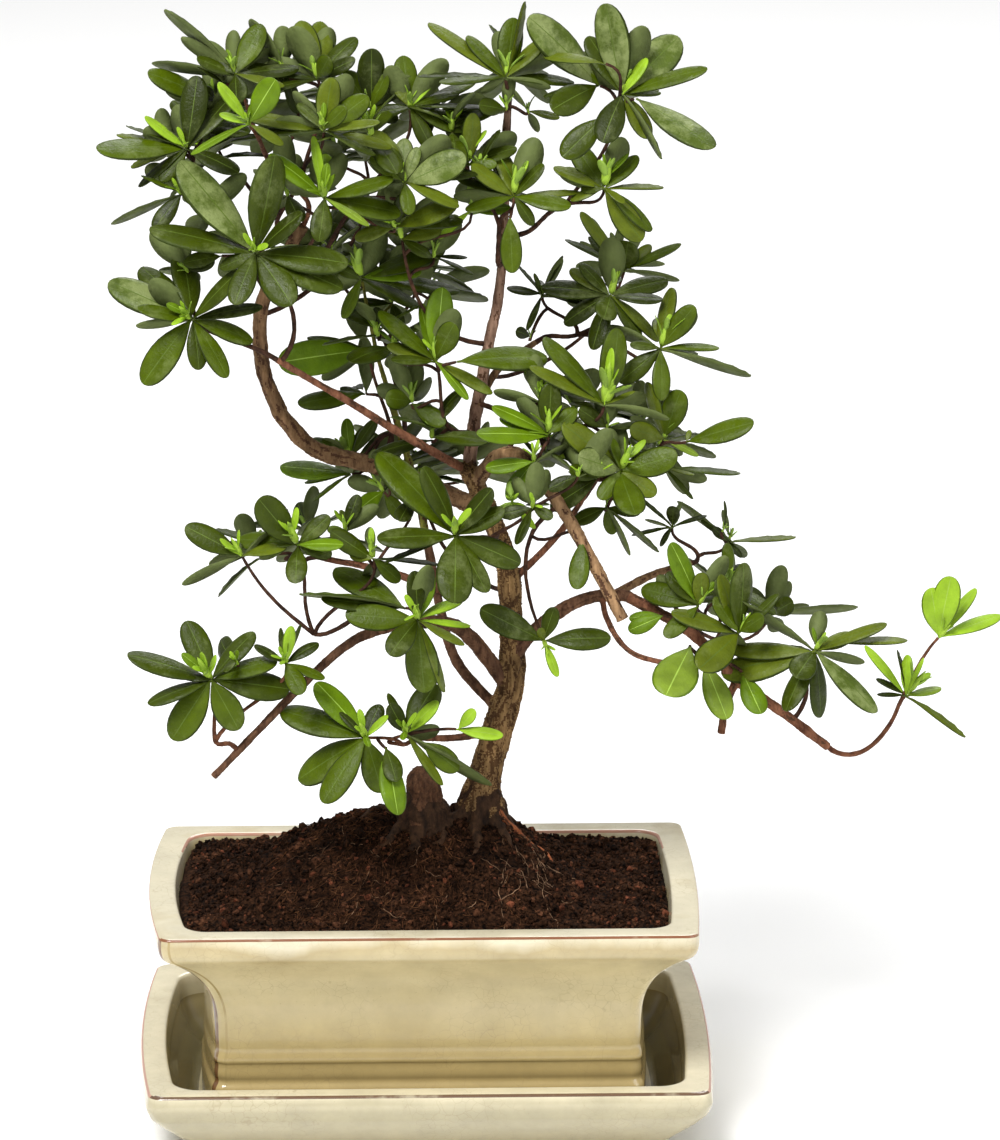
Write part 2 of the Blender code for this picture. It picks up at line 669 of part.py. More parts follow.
def bud_object(whorl, collection, grow=0.0):
    """The young shoot at a whorl's heart: a slim cone that the leaves are rooted in."""
    shape = bmesh.new()
    bmesh.ops.create_cone(shape, cap_ends=True, segments=BUD_SIDES, radius1=(BUD_RADIUS + grow) * MM,
                          radius2=(BUD_TIP + grow) * MM, depth=(BUD_LENGTH + 2 * grow) * MM)
    mesh = bpy.data.meshes.new("bud")
    shape.to_mesh(mesh)
    shape.free()
    turn = whorl.axis.to_track_quat("Z", "Y").to_matrix().to_4x4()
    turn.translation = (whorl.hub + whorl.axis * (BUD_LENGTH / 2 - BUD_FOOT)) * MM
    mesh.transform(turn)
    return new_object("bud", mesh, collection)


def taper(start, end, count):
    return [start + (end - start) * i / (count - 1) for i in range(count)]


def twig_tubes(stem, whorls):
    """The lines of a mass's wood with their radii."""
    if not stem:
        return [(whorl.twig, taper(STEM_RADIUS, TWIG_RADIUS, len(whorl.twig))) for whorl in whorls]
    fork_radius = (STEM_RADIUS + TWIG_RADIUS) / 2
    return [(stem, taper(STEM_RADIUS, fork_radius, len(stem)))] + [
        (whorl.twig, taper(fork_radius, TWIG_RADIUS, len(whorl.twig))) for whorl in whorls
    ]


def place_twigs(name, mass, limb, profile, pieces, obstacles, rng):
    """Grows a mass's wood and buds, bent another way each time they touch another piece."""
    for attempt in range(TWIG_TRIES):
        for failed in list(pieces.objects):
            bpy.data.objects.remove(failed)
        stem, whorls = grow_twigs(mass, *limb, BEND * attempt, rng)
        tubes = twig_tubes(stem, whorls)
        wood = [tube(name + "_twig", line, radii, profile, pieces) for line, radii in tubes]
        wood += [bud_object(whorl, pieces) for whorl in whorls]
        hits = {hit for piece in wood for hit in obstacles.touched({name}, *shape_of(piece))}
        if not hits:
            break
    else:
        print("note:", name, "touches", hits)
    for line, radii in tubes:
        obstacles.add_tube(name, line, radii, profile, pieces)
    for whorl in whorls:
        grown = bud_object(whorl, pieces, CLEAR)
        obstacles.add(name, *shape_of(grown))
        bpy.data.objects.remove(grown)
    return whorls


def place_leaves(name, whorls, pieces, obstacles, rng):
    """Roots the leaves at each whorl, and skips a leaf that finds no free place."""
    for number, whorl in enumerate(whorls):
        owner = f"{name} whorl {number}"
        for options in grow_leaves(whorl, rng):
            for leaf in options:
                if not obstacles.touched({name, owner}, leaf_vertices(leaf, CLEAR), LEAF_FACES):
                    leaf_object(leaf, pieces)
                    obstacles.add(owner, leaf_vertices(leaf), LEAF_FACES)
                    break


def build_foliage(leafage, profile, limbs, collection, obstacles):
    """Every mass as one solid. Twigs are placed before leaves, so that leaves keep off them."""
    grown = {}
    for index, (name, mass) in enumerate(MASSES.items()):
        rng = random.Random(FIRST_SEED + index)
        pieces = new_collection(name + "_pieces", hidden=True)
        whorls = place_twigs(name, mass, limbs[mass.limb], profile, pieces, obstacles, rng)
        grown[name] = (pieces, whorls, rng)
    for name, (pieces, whorls, rng) in grown.items():
        place_leaves(name, whorls, pieces, obstacles, rng)
    for name, (pieces, whorls, rng) in grown.items():
        first = pieces.objects[0]
        body = new_object(name, first.data, collection)
        bpy.data.objects.remove(first)
        combine(body, pieces, "UNION")
        bpy.data.collections.remove(pieces)
        paint(body, leafage)


# ---------------------------------------------------------------- the whole plant


def main():
    clear_scene()
    parts = new_collection("azalea_bonsai")
    guides = new_collection("guides", hidden=True)
    cutters = new_collection("cutters", hidden=True)
    glaze = new_material("cream_glaze", (0.66, 0.58, 0.37), 0.25)
    earth = new_material("soil", (0.045, 0.022, 0.014), 0.95)
    bark = new_material("bark", (0.16, 0.085, 0.045), 0.85)
    leafage = new_material("leaves", (0.07, 0.16, 0.025), 0.4)

    build_tray(glaze, parts)
    build_pot(glaze, parts)
    build_soil(earth, parts)

    profiles = {n: ring_profile(n, guides) for n in (LIMB_SIDES, THIN_LIMB_SIDES, TWIG_SIDES)}
    obstacles = Obstacles()
    limbs = build_limbs(bark, profiles, parts, cutters, obstacles)
    build_foliage(leafage, profiles[TWIG_SIDES], limbs, parts, obstacles)


main()
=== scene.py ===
"""Looks of an azalea bonsai in a cream-glazed pot with its drip tray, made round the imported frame.

X runs along the pot, Y towards its back and Z up. Sizes are in millimetres until a piece is made.
"""

import json
import math
import random
from collections import namedtuple

import bpy
import numpy as np
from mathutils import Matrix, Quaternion, Vector, noise
from mathutils.bvhtree import BVHTree

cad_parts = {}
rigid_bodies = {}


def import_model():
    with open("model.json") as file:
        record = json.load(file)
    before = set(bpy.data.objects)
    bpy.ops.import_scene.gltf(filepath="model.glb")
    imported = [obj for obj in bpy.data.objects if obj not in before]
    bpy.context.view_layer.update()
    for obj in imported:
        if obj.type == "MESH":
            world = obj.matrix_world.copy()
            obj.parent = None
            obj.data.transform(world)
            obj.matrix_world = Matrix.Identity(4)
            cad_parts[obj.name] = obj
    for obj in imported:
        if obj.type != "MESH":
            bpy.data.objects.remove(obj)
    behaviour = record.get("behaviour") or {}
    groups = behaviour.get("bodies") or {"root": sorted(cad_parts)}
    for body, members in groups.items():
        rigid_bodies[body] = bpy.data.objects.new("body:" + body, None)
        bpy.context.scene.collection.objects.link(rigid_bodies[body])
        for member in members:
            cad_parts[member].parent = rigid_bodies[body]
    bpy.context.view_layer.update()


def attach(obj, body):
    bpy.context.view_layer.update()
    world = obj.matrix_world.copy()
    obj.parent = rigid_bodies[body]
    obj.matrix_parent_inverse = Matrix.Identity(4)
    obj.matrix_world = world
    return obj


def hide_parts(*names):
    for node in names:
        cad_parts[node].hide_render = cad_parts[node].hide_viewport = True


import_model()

MM = 0.001
CLEAR = 0.3
UP = Vector((0, 0, 1))
BACKWARD = Vector((0, 1, 0.2))

# The camera stands where the photograph was taken from.
PHOTO_WIDTH = 1000  # pixels
PHOTO_HEIGHT = 1140
VIEW_TURN = math.radians(-1.5)
VIEW_RISE = math.radians(15.8)
VIEW_DISTANCE = 2600
VIEW_SPAN = 428.5  # what the picture's height shows at that distance
VIEW_TARGET = Vector((28, 0, 211.5))
TO_VIEWER = Vector((math.sin(VIEW_TURN) * math.cos(VIEW_RISE),
                    -math.cos(VIEW_TURN) * math.cos(VIEW_RISE), math.sin(VIEW_RISE)))
PICTURE_RIGHT = UP.cross(TO_VIEWER).normalized()
PICTURE_UP = TO_VIEWER.cross(PICTURE_RIGHT)
PIXEL = VIEW_SPAN / PHOTO_HEIGHT

# ---------------------------------------------------------------- sizes shared with the solids

TRAY_LENGTH = 209  # over the corners of the rim
TRAY_DEPTH = 154
TRAY_HEIGHT = 30
TRAY_BOW = (4.6, 3)  # how far the left and the right end bulge past their corners
TRAY_RIM = 9.5
TRAY_FLOOR = 6
TRAY_CORNER, TRAY_INNER_CORNER = 5, 10
TRAY_FOOT = 20.5  # how far the underside's edge lies inside the rim's
# The wall as heights and insets from the rim's corners: up the outside and down the inside.
TRAY_WALL = (
    (0, TRAY_FOOT), (1.5, TRAY_FOOT - 2), (8, 12), (15, 5), (20, 0.8), (25, -1), (TRAY_HEIGHT, 0),
    (TRAY_HEIGHT, TRAY_RIM), (20, TRAY_RIM + 1), (13, TRAY_RIM + 4),
    (TRAY_FLOOR + 1, TRAY_RIM + 9), (TRAY_FLOOR, TRAY_RIM + 12),
)

POT_LENGTH = 200
POT_DEPTH = 138
POT_HEIGHT = 83
POT_BOW = (5.4, 2.6)
POT_RIM = 10
POT_FLOOR = 8
POT_CORNER, POT_INNER_CORNER = 4, 8
POT_FLARE = 20.5  # how far the lip stands out over the waist
POT_WAIST = 37  # height at which the sides start to flare
LIP_HEIGHT = 9
LIP_STEP = 0.4  # how far the lip's lower edge stands out past the rim
LIP_TUCK = 0.6  # how far the wall draws in under the lip
FOOT_HEIGHT = 17
FOOT_STEP = 1.4  # how far the foot stands out
# The mouldings over the foot, as heights and insets from the waist.
FOOT_BANDS = ((19.4, 0.1), (22, -0.6), (26.3, 0), (27.5, -0.8), (31.6, 0.2), (34, 0.1))
SOIL_DROP = 5  # soil's edge below the rim
SOIL_INSET = POT_RIM + 1
POT_INSIDE = (
    (POT_HEIGHT - 10, POT_RIM + 2),
    (POT_HEIGHT - 17, POT_RIM + 7.5), (POT_HEIGHT - 27, POT_RIM + 14.5),
    (POT_HEIGHT - 40, POT_RIM + 17.5), (POT_FLOOR, POT_RIM + 18.5),
)

POT_BASE_Z = TRAY_FLOOR + CLEAR
SOIL_Z = POT_BASE_Z + POT_HEIGHT - SOIL_DROP
GROUND_Z = 120  # top of the root mound, where the stems stand
MOUND_MIDDLE = Vector((9, -2, 0))
MOUND_TOP = (26, 17)  # half sizes of the mound's flat top

# Limbs: the limb each grows from, the guide points of its centreline, its radii at both ends.
Limb = namedtuple("Limb", "parent points start end")

LIMBS = {
    "trunk": Limb(
        None,
        ((21, 0, 120), (21, 0, 122), (21.5, 0, 126), (27, 0, 149), (32, 0, 166), (32.6, 1, 182),
         (32, 2, 199), (30, 3, 216), (24, 4, 233), (16, 4, 250)),
        6.9, 3.7),
    "cut_stump": Limb(None, ((-1, -5, 120), (-1, -5, 122), (-1, -5, 126), (-3, -7, 136)), 6.9, 4.6),
    "leader": Limb(
        "trunk",
        ((16, 4, 247), (19, 6, 270), (24, 8, 297), (28, 10, 317), (30, 12, 345), (30, 12, 370),
         (31, 10, 386)),
        2.6, 1.2),
    "left_bough_sweep": Limb(
        "trunk", ((24, 4, 232), (8, 13, 238), (-17, 22, 246), (-41, 24, 252.5), (-54, 24, 266)),
        3.5, 3.0),
    "left_bough_rise": Limb(
        "left_bough_sweep",
        ((-54, 24, 266), (-60.5, 22, 285), (-61, 20, 308), (-54, 16, 325), (-45, 12, 342)),
        3.0, 2.2),
    "thin_left_bough": Limb(
        "trunk", ((16, 4, 249), (-10, -14, 269), (-28, -24, 283), (-55, -30, 301)), 1.8, 1.2),
    "inner_left_bough": Limb(
        "trunk",
        ((28, 0, 156), (12, 12, 172), (6, 22, 190), (2, 28, 210), (-3, 31, 235), (-12, 31, 268)),
        2.1, 1.4),
    "low_left_bough": Limb(
        "trunk",
        ((31, 0, 166), (17, -8, 187), (5, -16, 196), (-18, -26, 196), (-38, -32, 185),
         (-80, -42, 144)),
        3.1, 1.35),
    "low_back_bough": Limb(
        "inner_left_bough", ((5, 24, 196), (-12, 38, 200), (-38, 48, 203)), 1.6, 1.2),
    "low_front_bough": Limb("trunk", ((26, 0, 148), (11, -14, 150), (-1, -24, 153)), 1.6, 1.2),
    "cut_bough": Limb(
        "trunk",
        ((19, 4, 244), (26, -4, 256), (35, -11, 259), (44, -18, 250), (55, -24, 234),
         (73, -32, 201)),
        2.8, 2.3),
    "crossing_bough": Limb("trunk", ((31, 3, 205), (44, 5, 217), (54, 5, 229), (61, 3, 242)),
                           1.5, 1.1),
    "right_bough": Limb(
        "trunk", ((32, 0, 176), (40, -4, 188), (51, -8, 198), (62, -8, 203), (75, -6, 203)),
        2.7, 2.2),
    "right_bough_fall": Limb(
        "right_bough",
        ((75, -6, 203), (99, -19, 192), (116, -24, 175), (133, -23, 162), (151, -20, 147)),
        2.2, 1.7),
    "right_back_bough": Limb("right_bough", ((70, -6, 203), (86, 8, 207), (101, 20, 208)),
                             1.7, 1.2),
    "right_stub": Limb("right_bough_fall", ((116, -24, 175), (112, -26, 166), (110, -28, 155)),
                       1.6, 1.5),
    "loop_twig": Limb(
        "right_bough",
        ((66, -8, 203), (68, -17, 196), (75, -24, 187), (86, -26, 183), (97, -27, 182)), 1.2, 1.0),
    "upper_right_bough": Limb("leader", ((20, 6, 275), (28, 14, 286), (42, 26, 293)), 1.6, 1.2),
}

# Foliage: each mass grows from a limb, at a share of that limb's length, on one stem. Its whorls
# lie along a line through the mass's centre that reaches the spread to both sides. The tilt
# leans its twigs away from growing straight up and out.
NONE = (0, 0, 0)
FACING = (0, -0.6, 0)  # leans towards the front
Mass = namedtuple("Mass", "limb at centre spread whorls tilt", defaults=(NONE, 1, NONE))

MASSES = {
    "crown_far_left": Mass("left_bough_rise", 0.80, (-91, -5, 376), tilt=FACING),
    "crown_top_left": Mass("left_bough_rise", 1.00, (-68, -10, 395), (2, -15, -8), 2),
    "crown_top": Mass("left_bough_rise", 0.93, (-40, -7, 393), (-1, -17, -10), 2),
    "crown_right": Mass("left_bough_rise", 0.86, (-7, -9, 377), (1, -11, -12), 2),
    "crown_middle": Mass("left_bough_rise", 0.72, (-36, -8, 358), tilt=FACING),
    "crown_front": Mass("thin_left_bough", 0.98, (-62, -36, 343), tilt=FACING),
    "crown_back_left": Mass("left_bough_rise", 0.62, (-64, 58, 372), (15, 2, 8), 2),
    "crown_back_right": Mass("left_bough_rise", 0.50, (-22, 54, 358)),
    "left_shoulder": Mass("thin_left_bough", 1.00, (-86, -32, 316), tilt=FACING),
    "inner_crown": Mass("inner_left_bough", 1.00, (-22, 18, 312), (-3, -6, 12), 2),
    "inner_crown_right": Mass("leader", 0.36, (-7, -2, 337)),
    "inner_back": Mass("inner_left_bough", 0.90, (-18, 62, 315), (18, -2, -3), 2),
    "heart": Mass("leader", 0.12, (5, -6, 299)),
    "heart_left": Mass("left_bough_sweep", 0.50, (-24, 42, 270), tilt=(-0.5, 0, 0)),
    "leader_top": Mass("leader", 1.00, (31, 8, 404)),
    "leader_back": Mass("leader", 0.86, (36, 50, 388)),
    "leader_middle": Mass("leader", 0.58, (27, -6, 364), (8, -9, -4), 2),
    "leader_right": Mass("leader", 0.66, (69, -8, 379), (2, 3, 17), 2),
    "right_upper": Mass("upper_right_bough", 1.00, (69, 14, 306), (23, -16, -5), 3),
    "right_upper_back": Mass("upper_right_bough", 0.45, (76, 58, 296)),
    "right_middle": Mass("cut_bough", 0.22, (66, -16, 281)),
    "centre": Mass("leader", 0.20, (42, -16, 276), (4, -5, -9), 2),
    "right_cluster": Mass("crossing_bough", 1.00, (81, -12, 261), (9, 12, 4), 2),
    "right_cluster_back": Mass("crossing_bough", 0.70, (75, 55, 250), (15, -3, -6), 2),
    "centre_front": Mass("trunk", 0.80, (22, -30, 237), (-12, -8, 0), 2, FACING),
    "centre_back": Mass("trunk", 0.62, (0, 58, 233)),
    "front_low": Mass("low_left_bough", 0.34, (-3, -42, 202), tilt=FACING),
    "hanging_right": Mass("cut_bough", 0.52, (46, -22, 193), tilt=(0.5, -0.5, -2)),
    "right_back": Mass("right_back_bough", 1.00, (105, 26, 216), (10, 5, -4), 2),
    "right_mass": Mass("right_bough_fall", 0.30, (110, -15, 198), (9, -6, -2), 2),
    "right_mass_back": Mass("right_back_bough", 0.70, (130, 44, 186)),
    "right_outer": Mass("right_bough_fall", 0.82, (146, -16, 184)),
    "right_under": Mass("loop_twig", 1.00, (106, -8, 170), tilt=(0, -0.6, -1.6)),
    "right_tip": Mass("right_bough_fall", 1.00, (186, -12, 176), (6, 0, 12), 2),
    "low_left_back": Mass("low_back_bough", 1.00, (-56, 56, 205), (-10, -4, -3), 2),
    "low_left_top": Mass("low_left_bough", 0.44, (-46, -31, 229), (-24, -9, 2), 3),
    "low_left_outer": Mass("low_left_bough", 0.91, (-65, -41, 187), (-13, -5, 0), 2, FACING),
    "low_front": Mass("low_front_bough", 1.00, (-15, -43, 160), (-9, 2, -2), 2, FACING),
}

# Masses whose twigs touched something and were bent anew: how often they were grown.
TRIES = {"crown_top": 2, "right_upper_back": 4}

# Pieces that the masses are joined into.
REGIONS = {
    "crown_left": ("crown_far_left", "crown_top_left", "crown_top", "crown_right", "crown_middle",
                   "crown_front", "crown_back_left", "crown_back_right", "left_shoulder"),
    "crown_inner": ("inner_crown", "inner_crown_right", "inner_back", "heart", "heart_left",
                    "leader_top", "leader_back", "leader_middle", "leader_right"),
    "middle": ("right_upper", "right_upper_back", "right_middle", "centre", "right_cluster",
               "right_cluster_back", "centre_front", "centre_back", "front_low", "hanging_right"),
    "right": ("right_back", "right_mass", "right_mass_back", "right_outer", "right_under",
              "right_tip"),
    "low_left": ("low_left_back", "low_left_top", "low_left_outer", "low_front"),
}

# Rosettes on each mass as they were read in the photograph: x and y in its pixels, depth
# behind the trunk in mm, size, leaves of the rule and look. The first ones are the tips of the
# mass's own twigs, where None keeps the rule's place, and the others are finer shoots. Leaves that
# show one by one follow: x and y of the tip and the width in pixels (negative where the underside
# shows), and the tint where it differs from the look's.
ROSETTES = {
    "crown_far_left": (
        (188, 150, -8, 0.9, 4, "dark", ((101, 149, 23, "green"), (118, 131, 8, "olive"),
         (146, 120, 10, "young"), (200, 80, 28), (232, 92, 20, "deep"), (162, 182, 19, "dark"),
         (138, 184, 10), (128, 122, 4), (240, 172, 18, "deep"))),
        (182, 194, -14, 0.75, 2, "dark", ((110, 218, -6), (154, 229, 18, "deep"), (145, 175, 4),
         (200, 205, 12, "deep"))),
        (172, 150, 4, 0.7, 3, "left", ((130, 162, 10, "olive"),)),
        (200, 132, 14, 0.75, 6, "deep"),
    ),
    "crown_top_left": (
        (236, 76, -4, 0.92, 4, "dark", ((172, 10, -11), (185, 37, -13), (152, 56, -8, "olive"),
         (200, 60, 13), (263, 27, 25, "green"), (298, 68, 15, "deep"), (284, 88, 10, "olive"),
         (215, 62, 10, "deep"), (240, 108, 22, "deep"))),
        (250, 125, -30, 0.6, 0, "lime", ((221, 86, 12, "young"), (221, 113, 9, "young"),
         (276, 86, 27, "bright"), (192, 152, 8, "bright"), (284, 142, 11, "olive"))),
        (216, 102, 10, 0.8, 3, "dark", ((152, 75, 22, "green"), (205, 92, 14, "deep"))),
        (226, 84, 0, 0.7, 2, "left", ((200, 66, 5),)),
    ),
    "crown_top": (
        (318, 80, -2, 0.98, 4, "wax", ((298, 22, 27, "olive"), (325, 20, 26, "olive"), (354, 38, 19),
         (354, 64, 15, "deep"), (244, 66, 12, "deep"), (262, 92, 9), (330, 62, 20, "green"))),
        (324, 132, -28, 1, 3, "wax", ((242, 112, 15, "olive"), (258, 134, 10, "deep"),
         (330, 80, 24, "olive"), (368, 98, 24, "green"), (376, 121, 10, "olive"),
         (390, 146, 13, "olive"), (374, 156, 9), (345, 112, 16, "green"), (300, 104, 12))),
        (284, 70, 6, 0.85, 3, "dark", ((256, 18, -13), (300, 112, 14, "deep"), (270, 96, 12))),
        (372, 110, 4, 0.9, 3, "dark", ((372, 54, 27), (346, 72, 22, "green"), (398, 120, 14, "deep"),
         (386, 78, 16, "green"))),
    ),
    "crown_right": (
        (410, 110, 0, 0.92, 4, "dark", ((402, 56, 24, "green"), (390, 68, 19, "olive"),
         (434, 73, 11, "young"), (475, 76, 13), (457, 92, 11), (480, 105, 6, "deep"),
         (468, 128, 21, "green"), (432, 153, 17, "dark"), (375, 114, 14, "deep"))),
        (405, 184, -22, 0.95, 3, "wax", ((402, 140, 20, "wax"), (418, 150, 14, "wax"),
         (462, 158, 32, "wax"), (378, 132, 22, "olive"), (459, 207, 13, "olive"),
         (411, 216, 16, "green"), (372, 160, 16, "green"), (392, 150, 14, "dark"))),
        (436, 118, 6, 0.85, 3, "deep", ((480, 112, 10), (420, 140, 12, "deep"))),
        (372, 140, -14, 0.85, 4, "dark"),
    ),
    "crown_middle": (
        (325, 199, -24, 0.95, 3, "fresh", ((312, 140, 11, "young"), (326, 154, 20, "young"),
         (274, 156, 17, "bright"), (392, 180, 17, "green"), (400, 210, 24, "green"),
         (368, 226, 8, "pale"), (322, 242, 22, "dark"))),
        (395, 228, -16, 0.9, 3, "dark", ((455, 204, 22, "olive"), (462, 216, 16, "dark"),
         (356, 238, 16, "olive"), (404, 196, 14), (372, 214, 14, "deep"))),
        (288, 196, -8, 0.9, 4, "deep", ((300, 222, 18, "deep"), (262, 202, 12, "deep"))),
    ),
    "crown_front": (
        (256, 254, -40, 1.05, 2, "wax", ((180, 166, 36, "wax"), (154, 226, 24, "dark"),
         (277, 164, 32, "dark"), (294, 302, 32, "dark"), (346, 262, 29, "dark"),
         (340, 288, 28, "dark"), (236, 304, 25, "dark"), (220, 268, 15, "dark"),
         (300, 216, 18, "deep"))),
        (222, 256, -34, 0.85, 1, "left", ((184, 261, 16, "dark"),)),
        (206, 215, -24, 0.85, 4, "deep", ((240, 214, 14, "pale"),)),
    ),
    "crown_back_left": (
        None,
        None,
        (262, 108, 46, 0.9, 8, "deep"),
        (215, 160, 50, 0.9, 8, "deep"),
    ),
    "crown_back_right": (
        None,
        (340, 160, 52, 0.95, 8, "deep"),
    ),
    "left_shoulder": (
        (193, 320, -34, 0.95, 1, "fresh", ((110, 281, 31, "wax"), (141, 262, 26, "dark"),
         (142, 309, 14, "green"), (138, 327, -9), (143, 382, 31, "green"), (202, 368, 20, "dark"),
         (231, 374, 19, "green"), (254, 338, 19, "green"), (260, 303, 14, "deep"),
         (240, 273, 18, "dark"), (187, 251, 27, "dark"))),
        (188, 272, -26, 0.8, 4, "deep", ((215, 262, 14, "deep"),)),
    ),
    # The shown leaves of inner_crown, inner_crown_right, heart and heart_left have tints a step lighter
    # than their own: painted light where the crown shades them.
    "inner_crown": (
        (362, 280, 8, 0.95, 3, "fresh", ((443, 245, 22, "green"), (421, 270, 18, "bright"),
         (459, 289, 16, "dark"), (420, 304, 14, "dark"), (343, 320, 14, "green"),
         (336, 268, 12, "dark"))),
        (392, 304, 24, 0.95, 5, "dark", ((352, 300, 10, "dark"), (400, 330, 14, "dark"))),
        (335, 262, 16, 0.8, 5, "deep"),
        (378, 338, 10, 0.8, 5, "deep"),
    ),
    "inner_crown_right": (
        (402, 240, -2, 1, 5, "dark", ((366, 218, 8, "dark"), (430, 256, 12, "dark"),
         (440, 228, 16, "olive"))),
        (472, 212, 4, 0.7, 2, "lime", ((438, 240, 9, "young"), (510, 206, 13, "bright"))),
        (434, 258, 10, 0.85, 3, "deep", ((467, 258, 5), (474, 275, 5))),
    ),
    "inner_back": (
        None,
        None,
        (372, 258, 58, 0.9, 8, "deep"),
        (430, 296, 60, 0.85, 6, "deep"),
    ),
    "heart": (
        (436, 362, -8, 1, 2, "dark", ((441, 289, 28, "bright"), (454, 328, 24, "green"),
         (419, 304, 13, "bright"), (388, 347, 15, "olive"), (380, 311, 18, "green"),
         (392, 358, 10, "dark"), (493, 392, 13, "olive"), (470, 398, 10, "bright"))),
        (412, 404, 2, 0.85, 4, "dark", ((388, 400, 22, "green"), (444, 424, 20, "green"))),
        (432, 440, -2, 0.8, 5, "deep"),
        (456, 362, -16, 1, 0, "right", ((546, 352, 27, "green"),)),
        (395, 352, 8, 0.85, 4, "deep"),
    ),
    "heart_left": (
        (368, 350, 30, 1.3, 1, "left", ((281, 362, 37, "bright"), (309, 334, 10, "dark"))),
        (366, 394, 34, 1.05, 1, "left", ((301, 403, 20, "green"), (340, 388, 8, "dark"))),
        (352, 456, 30, 0.7, 2, "fresh", ((346, 420, 14, "bright"), (375, 418, 14, "dark"),
         (312, 438, 13, "dark"))),
        (352, 474, 28, 1.1, 1, "left", ((280, 466, 20, "bright"), (305, 481, 6), (312, 498, 5))),
        (384, 492, 20, 0.8, 4, "dark", ((360, 508, 18, "bright"), (404, 520, 16, "green"))),
    ),
    "leader_top": (
        (506, 80, 4, 1.2, 2, "dark", ((432, 20, 15, "olive"), (468, 36, 15, "green"), (512, 18, 25),
         (529, 6, 7, "olive"), (542, 40, 16, "olive"), (573, 75, 13), (549, 87, -9), (480, 92, -9),
         (420, 72, 5, "deep"), (440, 86, 10, "dark"))),
        (506, 110, 2, 0.6, 2, "dark", ((480, 106, 18, "dark"), (446, 106, 6, "deep"))),
    ),
    "leader_back": (
        None,
        (528, 112, 44, 0.6, 2, "narrow", ((560, 117, 9, "olive"),)),
    ),
    "leader_middle": (
        (468, 166, -4, 0.9, 3, "fresh", ((475, 117, 19, "olive"), (436, 139, 6, "deep"),
         (450, 146, 15, "green"), (515, 148, 15, "dark"), (496, 166, 13, "green"))),
        (514, 198, -10, 1, 3, "fresh", ((473, 167, 17, "olive"), (458, 180, 9, "dark"),
         (502, 150, 19, "olive"), (541, 165, 13, "dark"), (578, 193, 8, "olive"),
         (570, 206, 17, "green"), (467, 212, 14, "green"), (534, 225, 13, "dark"))),
        (452, 132, 0, 0.8, 4, "deep"),
        (510, 216, -14, 0.9, 0, "hang", ((512, 272, 22, "green"),)),
        (482, 178, -6, 0.8, 3, "deep"),
    ),
    "leader_right": (
        (604, 190, -10, 1, 2, "fresh", ((574, 145, 24, "green"), (555, 168, 13, "olive"),
         (570, 201, 10, "olive"), (638, 156, 16, "green"), (663, 181, 8, "olive"),
         (652, 229, 16, "green"), (641, 240, 27, "olive"), (624, 204, 8), (580, 190, 10, "dark"))),
        (622, 96, -4, 1.2, 3, "wax", ((607, 9, 33, "wax"), (592, 36, 24, "dark"), (678, 36, 38, "wax"),
         (703, 67, 16, "green"), (600, 142, 28, "deep"), (651, 138, 20, "olive"), (665, 158, -6),
         (662, 90, 8, "green"), (646, 60, 12, "young"))),
        (600, 86, 4, 1, 0, "left", ((536, 20, 35, "wax"), (547, 95, 9, "deep"), (554, 110, 30, "dark"),
         (569, 56, 17, "green"))),
        (606, 64, -14, 1, 0, "left", ((547, 50, 12, "olive"),)),
        (604, 118, -12, 1, 0, "hang", ((563, 158, 27, "dark"),)),
        (634, 99, -8, 1, 0, "right", ((709, 146, 27, "wax"),)),
    ),
    "right_upper": (
        (542, 296, 26, 0.7, 1, "narrow", ((561, 257, 6), (535, 274, 5), (508, 290, 9), (590, 297, 5),
         (583, 303, 5), (526, 332, 7), (520, 264, 4))),
        (610, 297, 12, 1.1, 2, "dark", ((542, 284, 20, "deep"), (572, 266, 17, "olive"),
         (582, 262, 14, "dark"), (666, 278, 20, "dark"), (662, 300, 12, "deep"), (561, 322, 19, "deep"),
         (589, 350, 19, "deep"), (643, 336, 15, "dark"), (662, 337, 13, "olive"),
         (604, 318, 24, "dark"))),
        (660, 350, -2, 1, 2, "fresh", ((668, 288, 17, "olive"), (692, 310, 22, "green"),
         (718, 344, 9, "green"), (748, 377, -8), (698, 355, 6), (662, 401, 19, "green"),
         (620, 385, 21, "dark"), (630, 344, 10, "dark"))),
        (530, 338, 20, 0.6, 0, "narrow", ((516, 332, 12, "deep"),)),
    ),
    "right_upper_back": (
        (624, 272, 54, 1.1, 3, "narrow", ((584, 214, 14, "olive"), (628, 246, 26, "dark"),
         (650, 246, 13, "olive"), (678, 246, 10, "green"), (680, 281, -7), (566, 238, 6))),
        (612, 268, 58, 1.1, 3, "narrow", ((590, 236, 8, "deep"),)),
    ),
    "right_middle": (
        (604, 406, -18, 1.05, 2, "tall", ((548, 335, 20, "green"), (532, 366, 14, "olive"),
         (534, 377, -9), (624, 333, 27, "green"), (634, 392, 5), (669, 412, -9),
         (612, 350, 10, "young"))),
        (606, 430, -12, 0.7, 3, "deep", ((646, 422, 8), (580, 412, 18, "dark"))),
    ),
    "centre": (
        (540, 402, -14, 0.8, 2, "dark", ((525, 362, 7, "young"), (494, 392, -11))),
        (548, 436, -20, 0.95, 2, "fresh", ((494, 407, 14, "bright"), (478, 434, 18, "bright"),
         (552, 385, 24, "dark"), (500, 420, 12, "bright"), (576, 412, 18, "green"))),
        (545, 450, -10, 0.8, 3, "deep", ((600, 462, 12, "green"),)),
        (534, 462, -26, 0.85, 1, "wax", ((503, 497, 19, "bright"), (486, 468, 16, "bright"))),
    ),
    "right_cluster": (
        (620, 472, -20, 1.05, 2, "fresh", ((564, 427, 27, "olive"), (579, 460, 28, "wax"),
         (676, 458, 29, "green"), (632, 514, 31, "green"), (655, 494, 20, "olive"),
         (600, 500, 18, "green"), (612, 440, 10))),
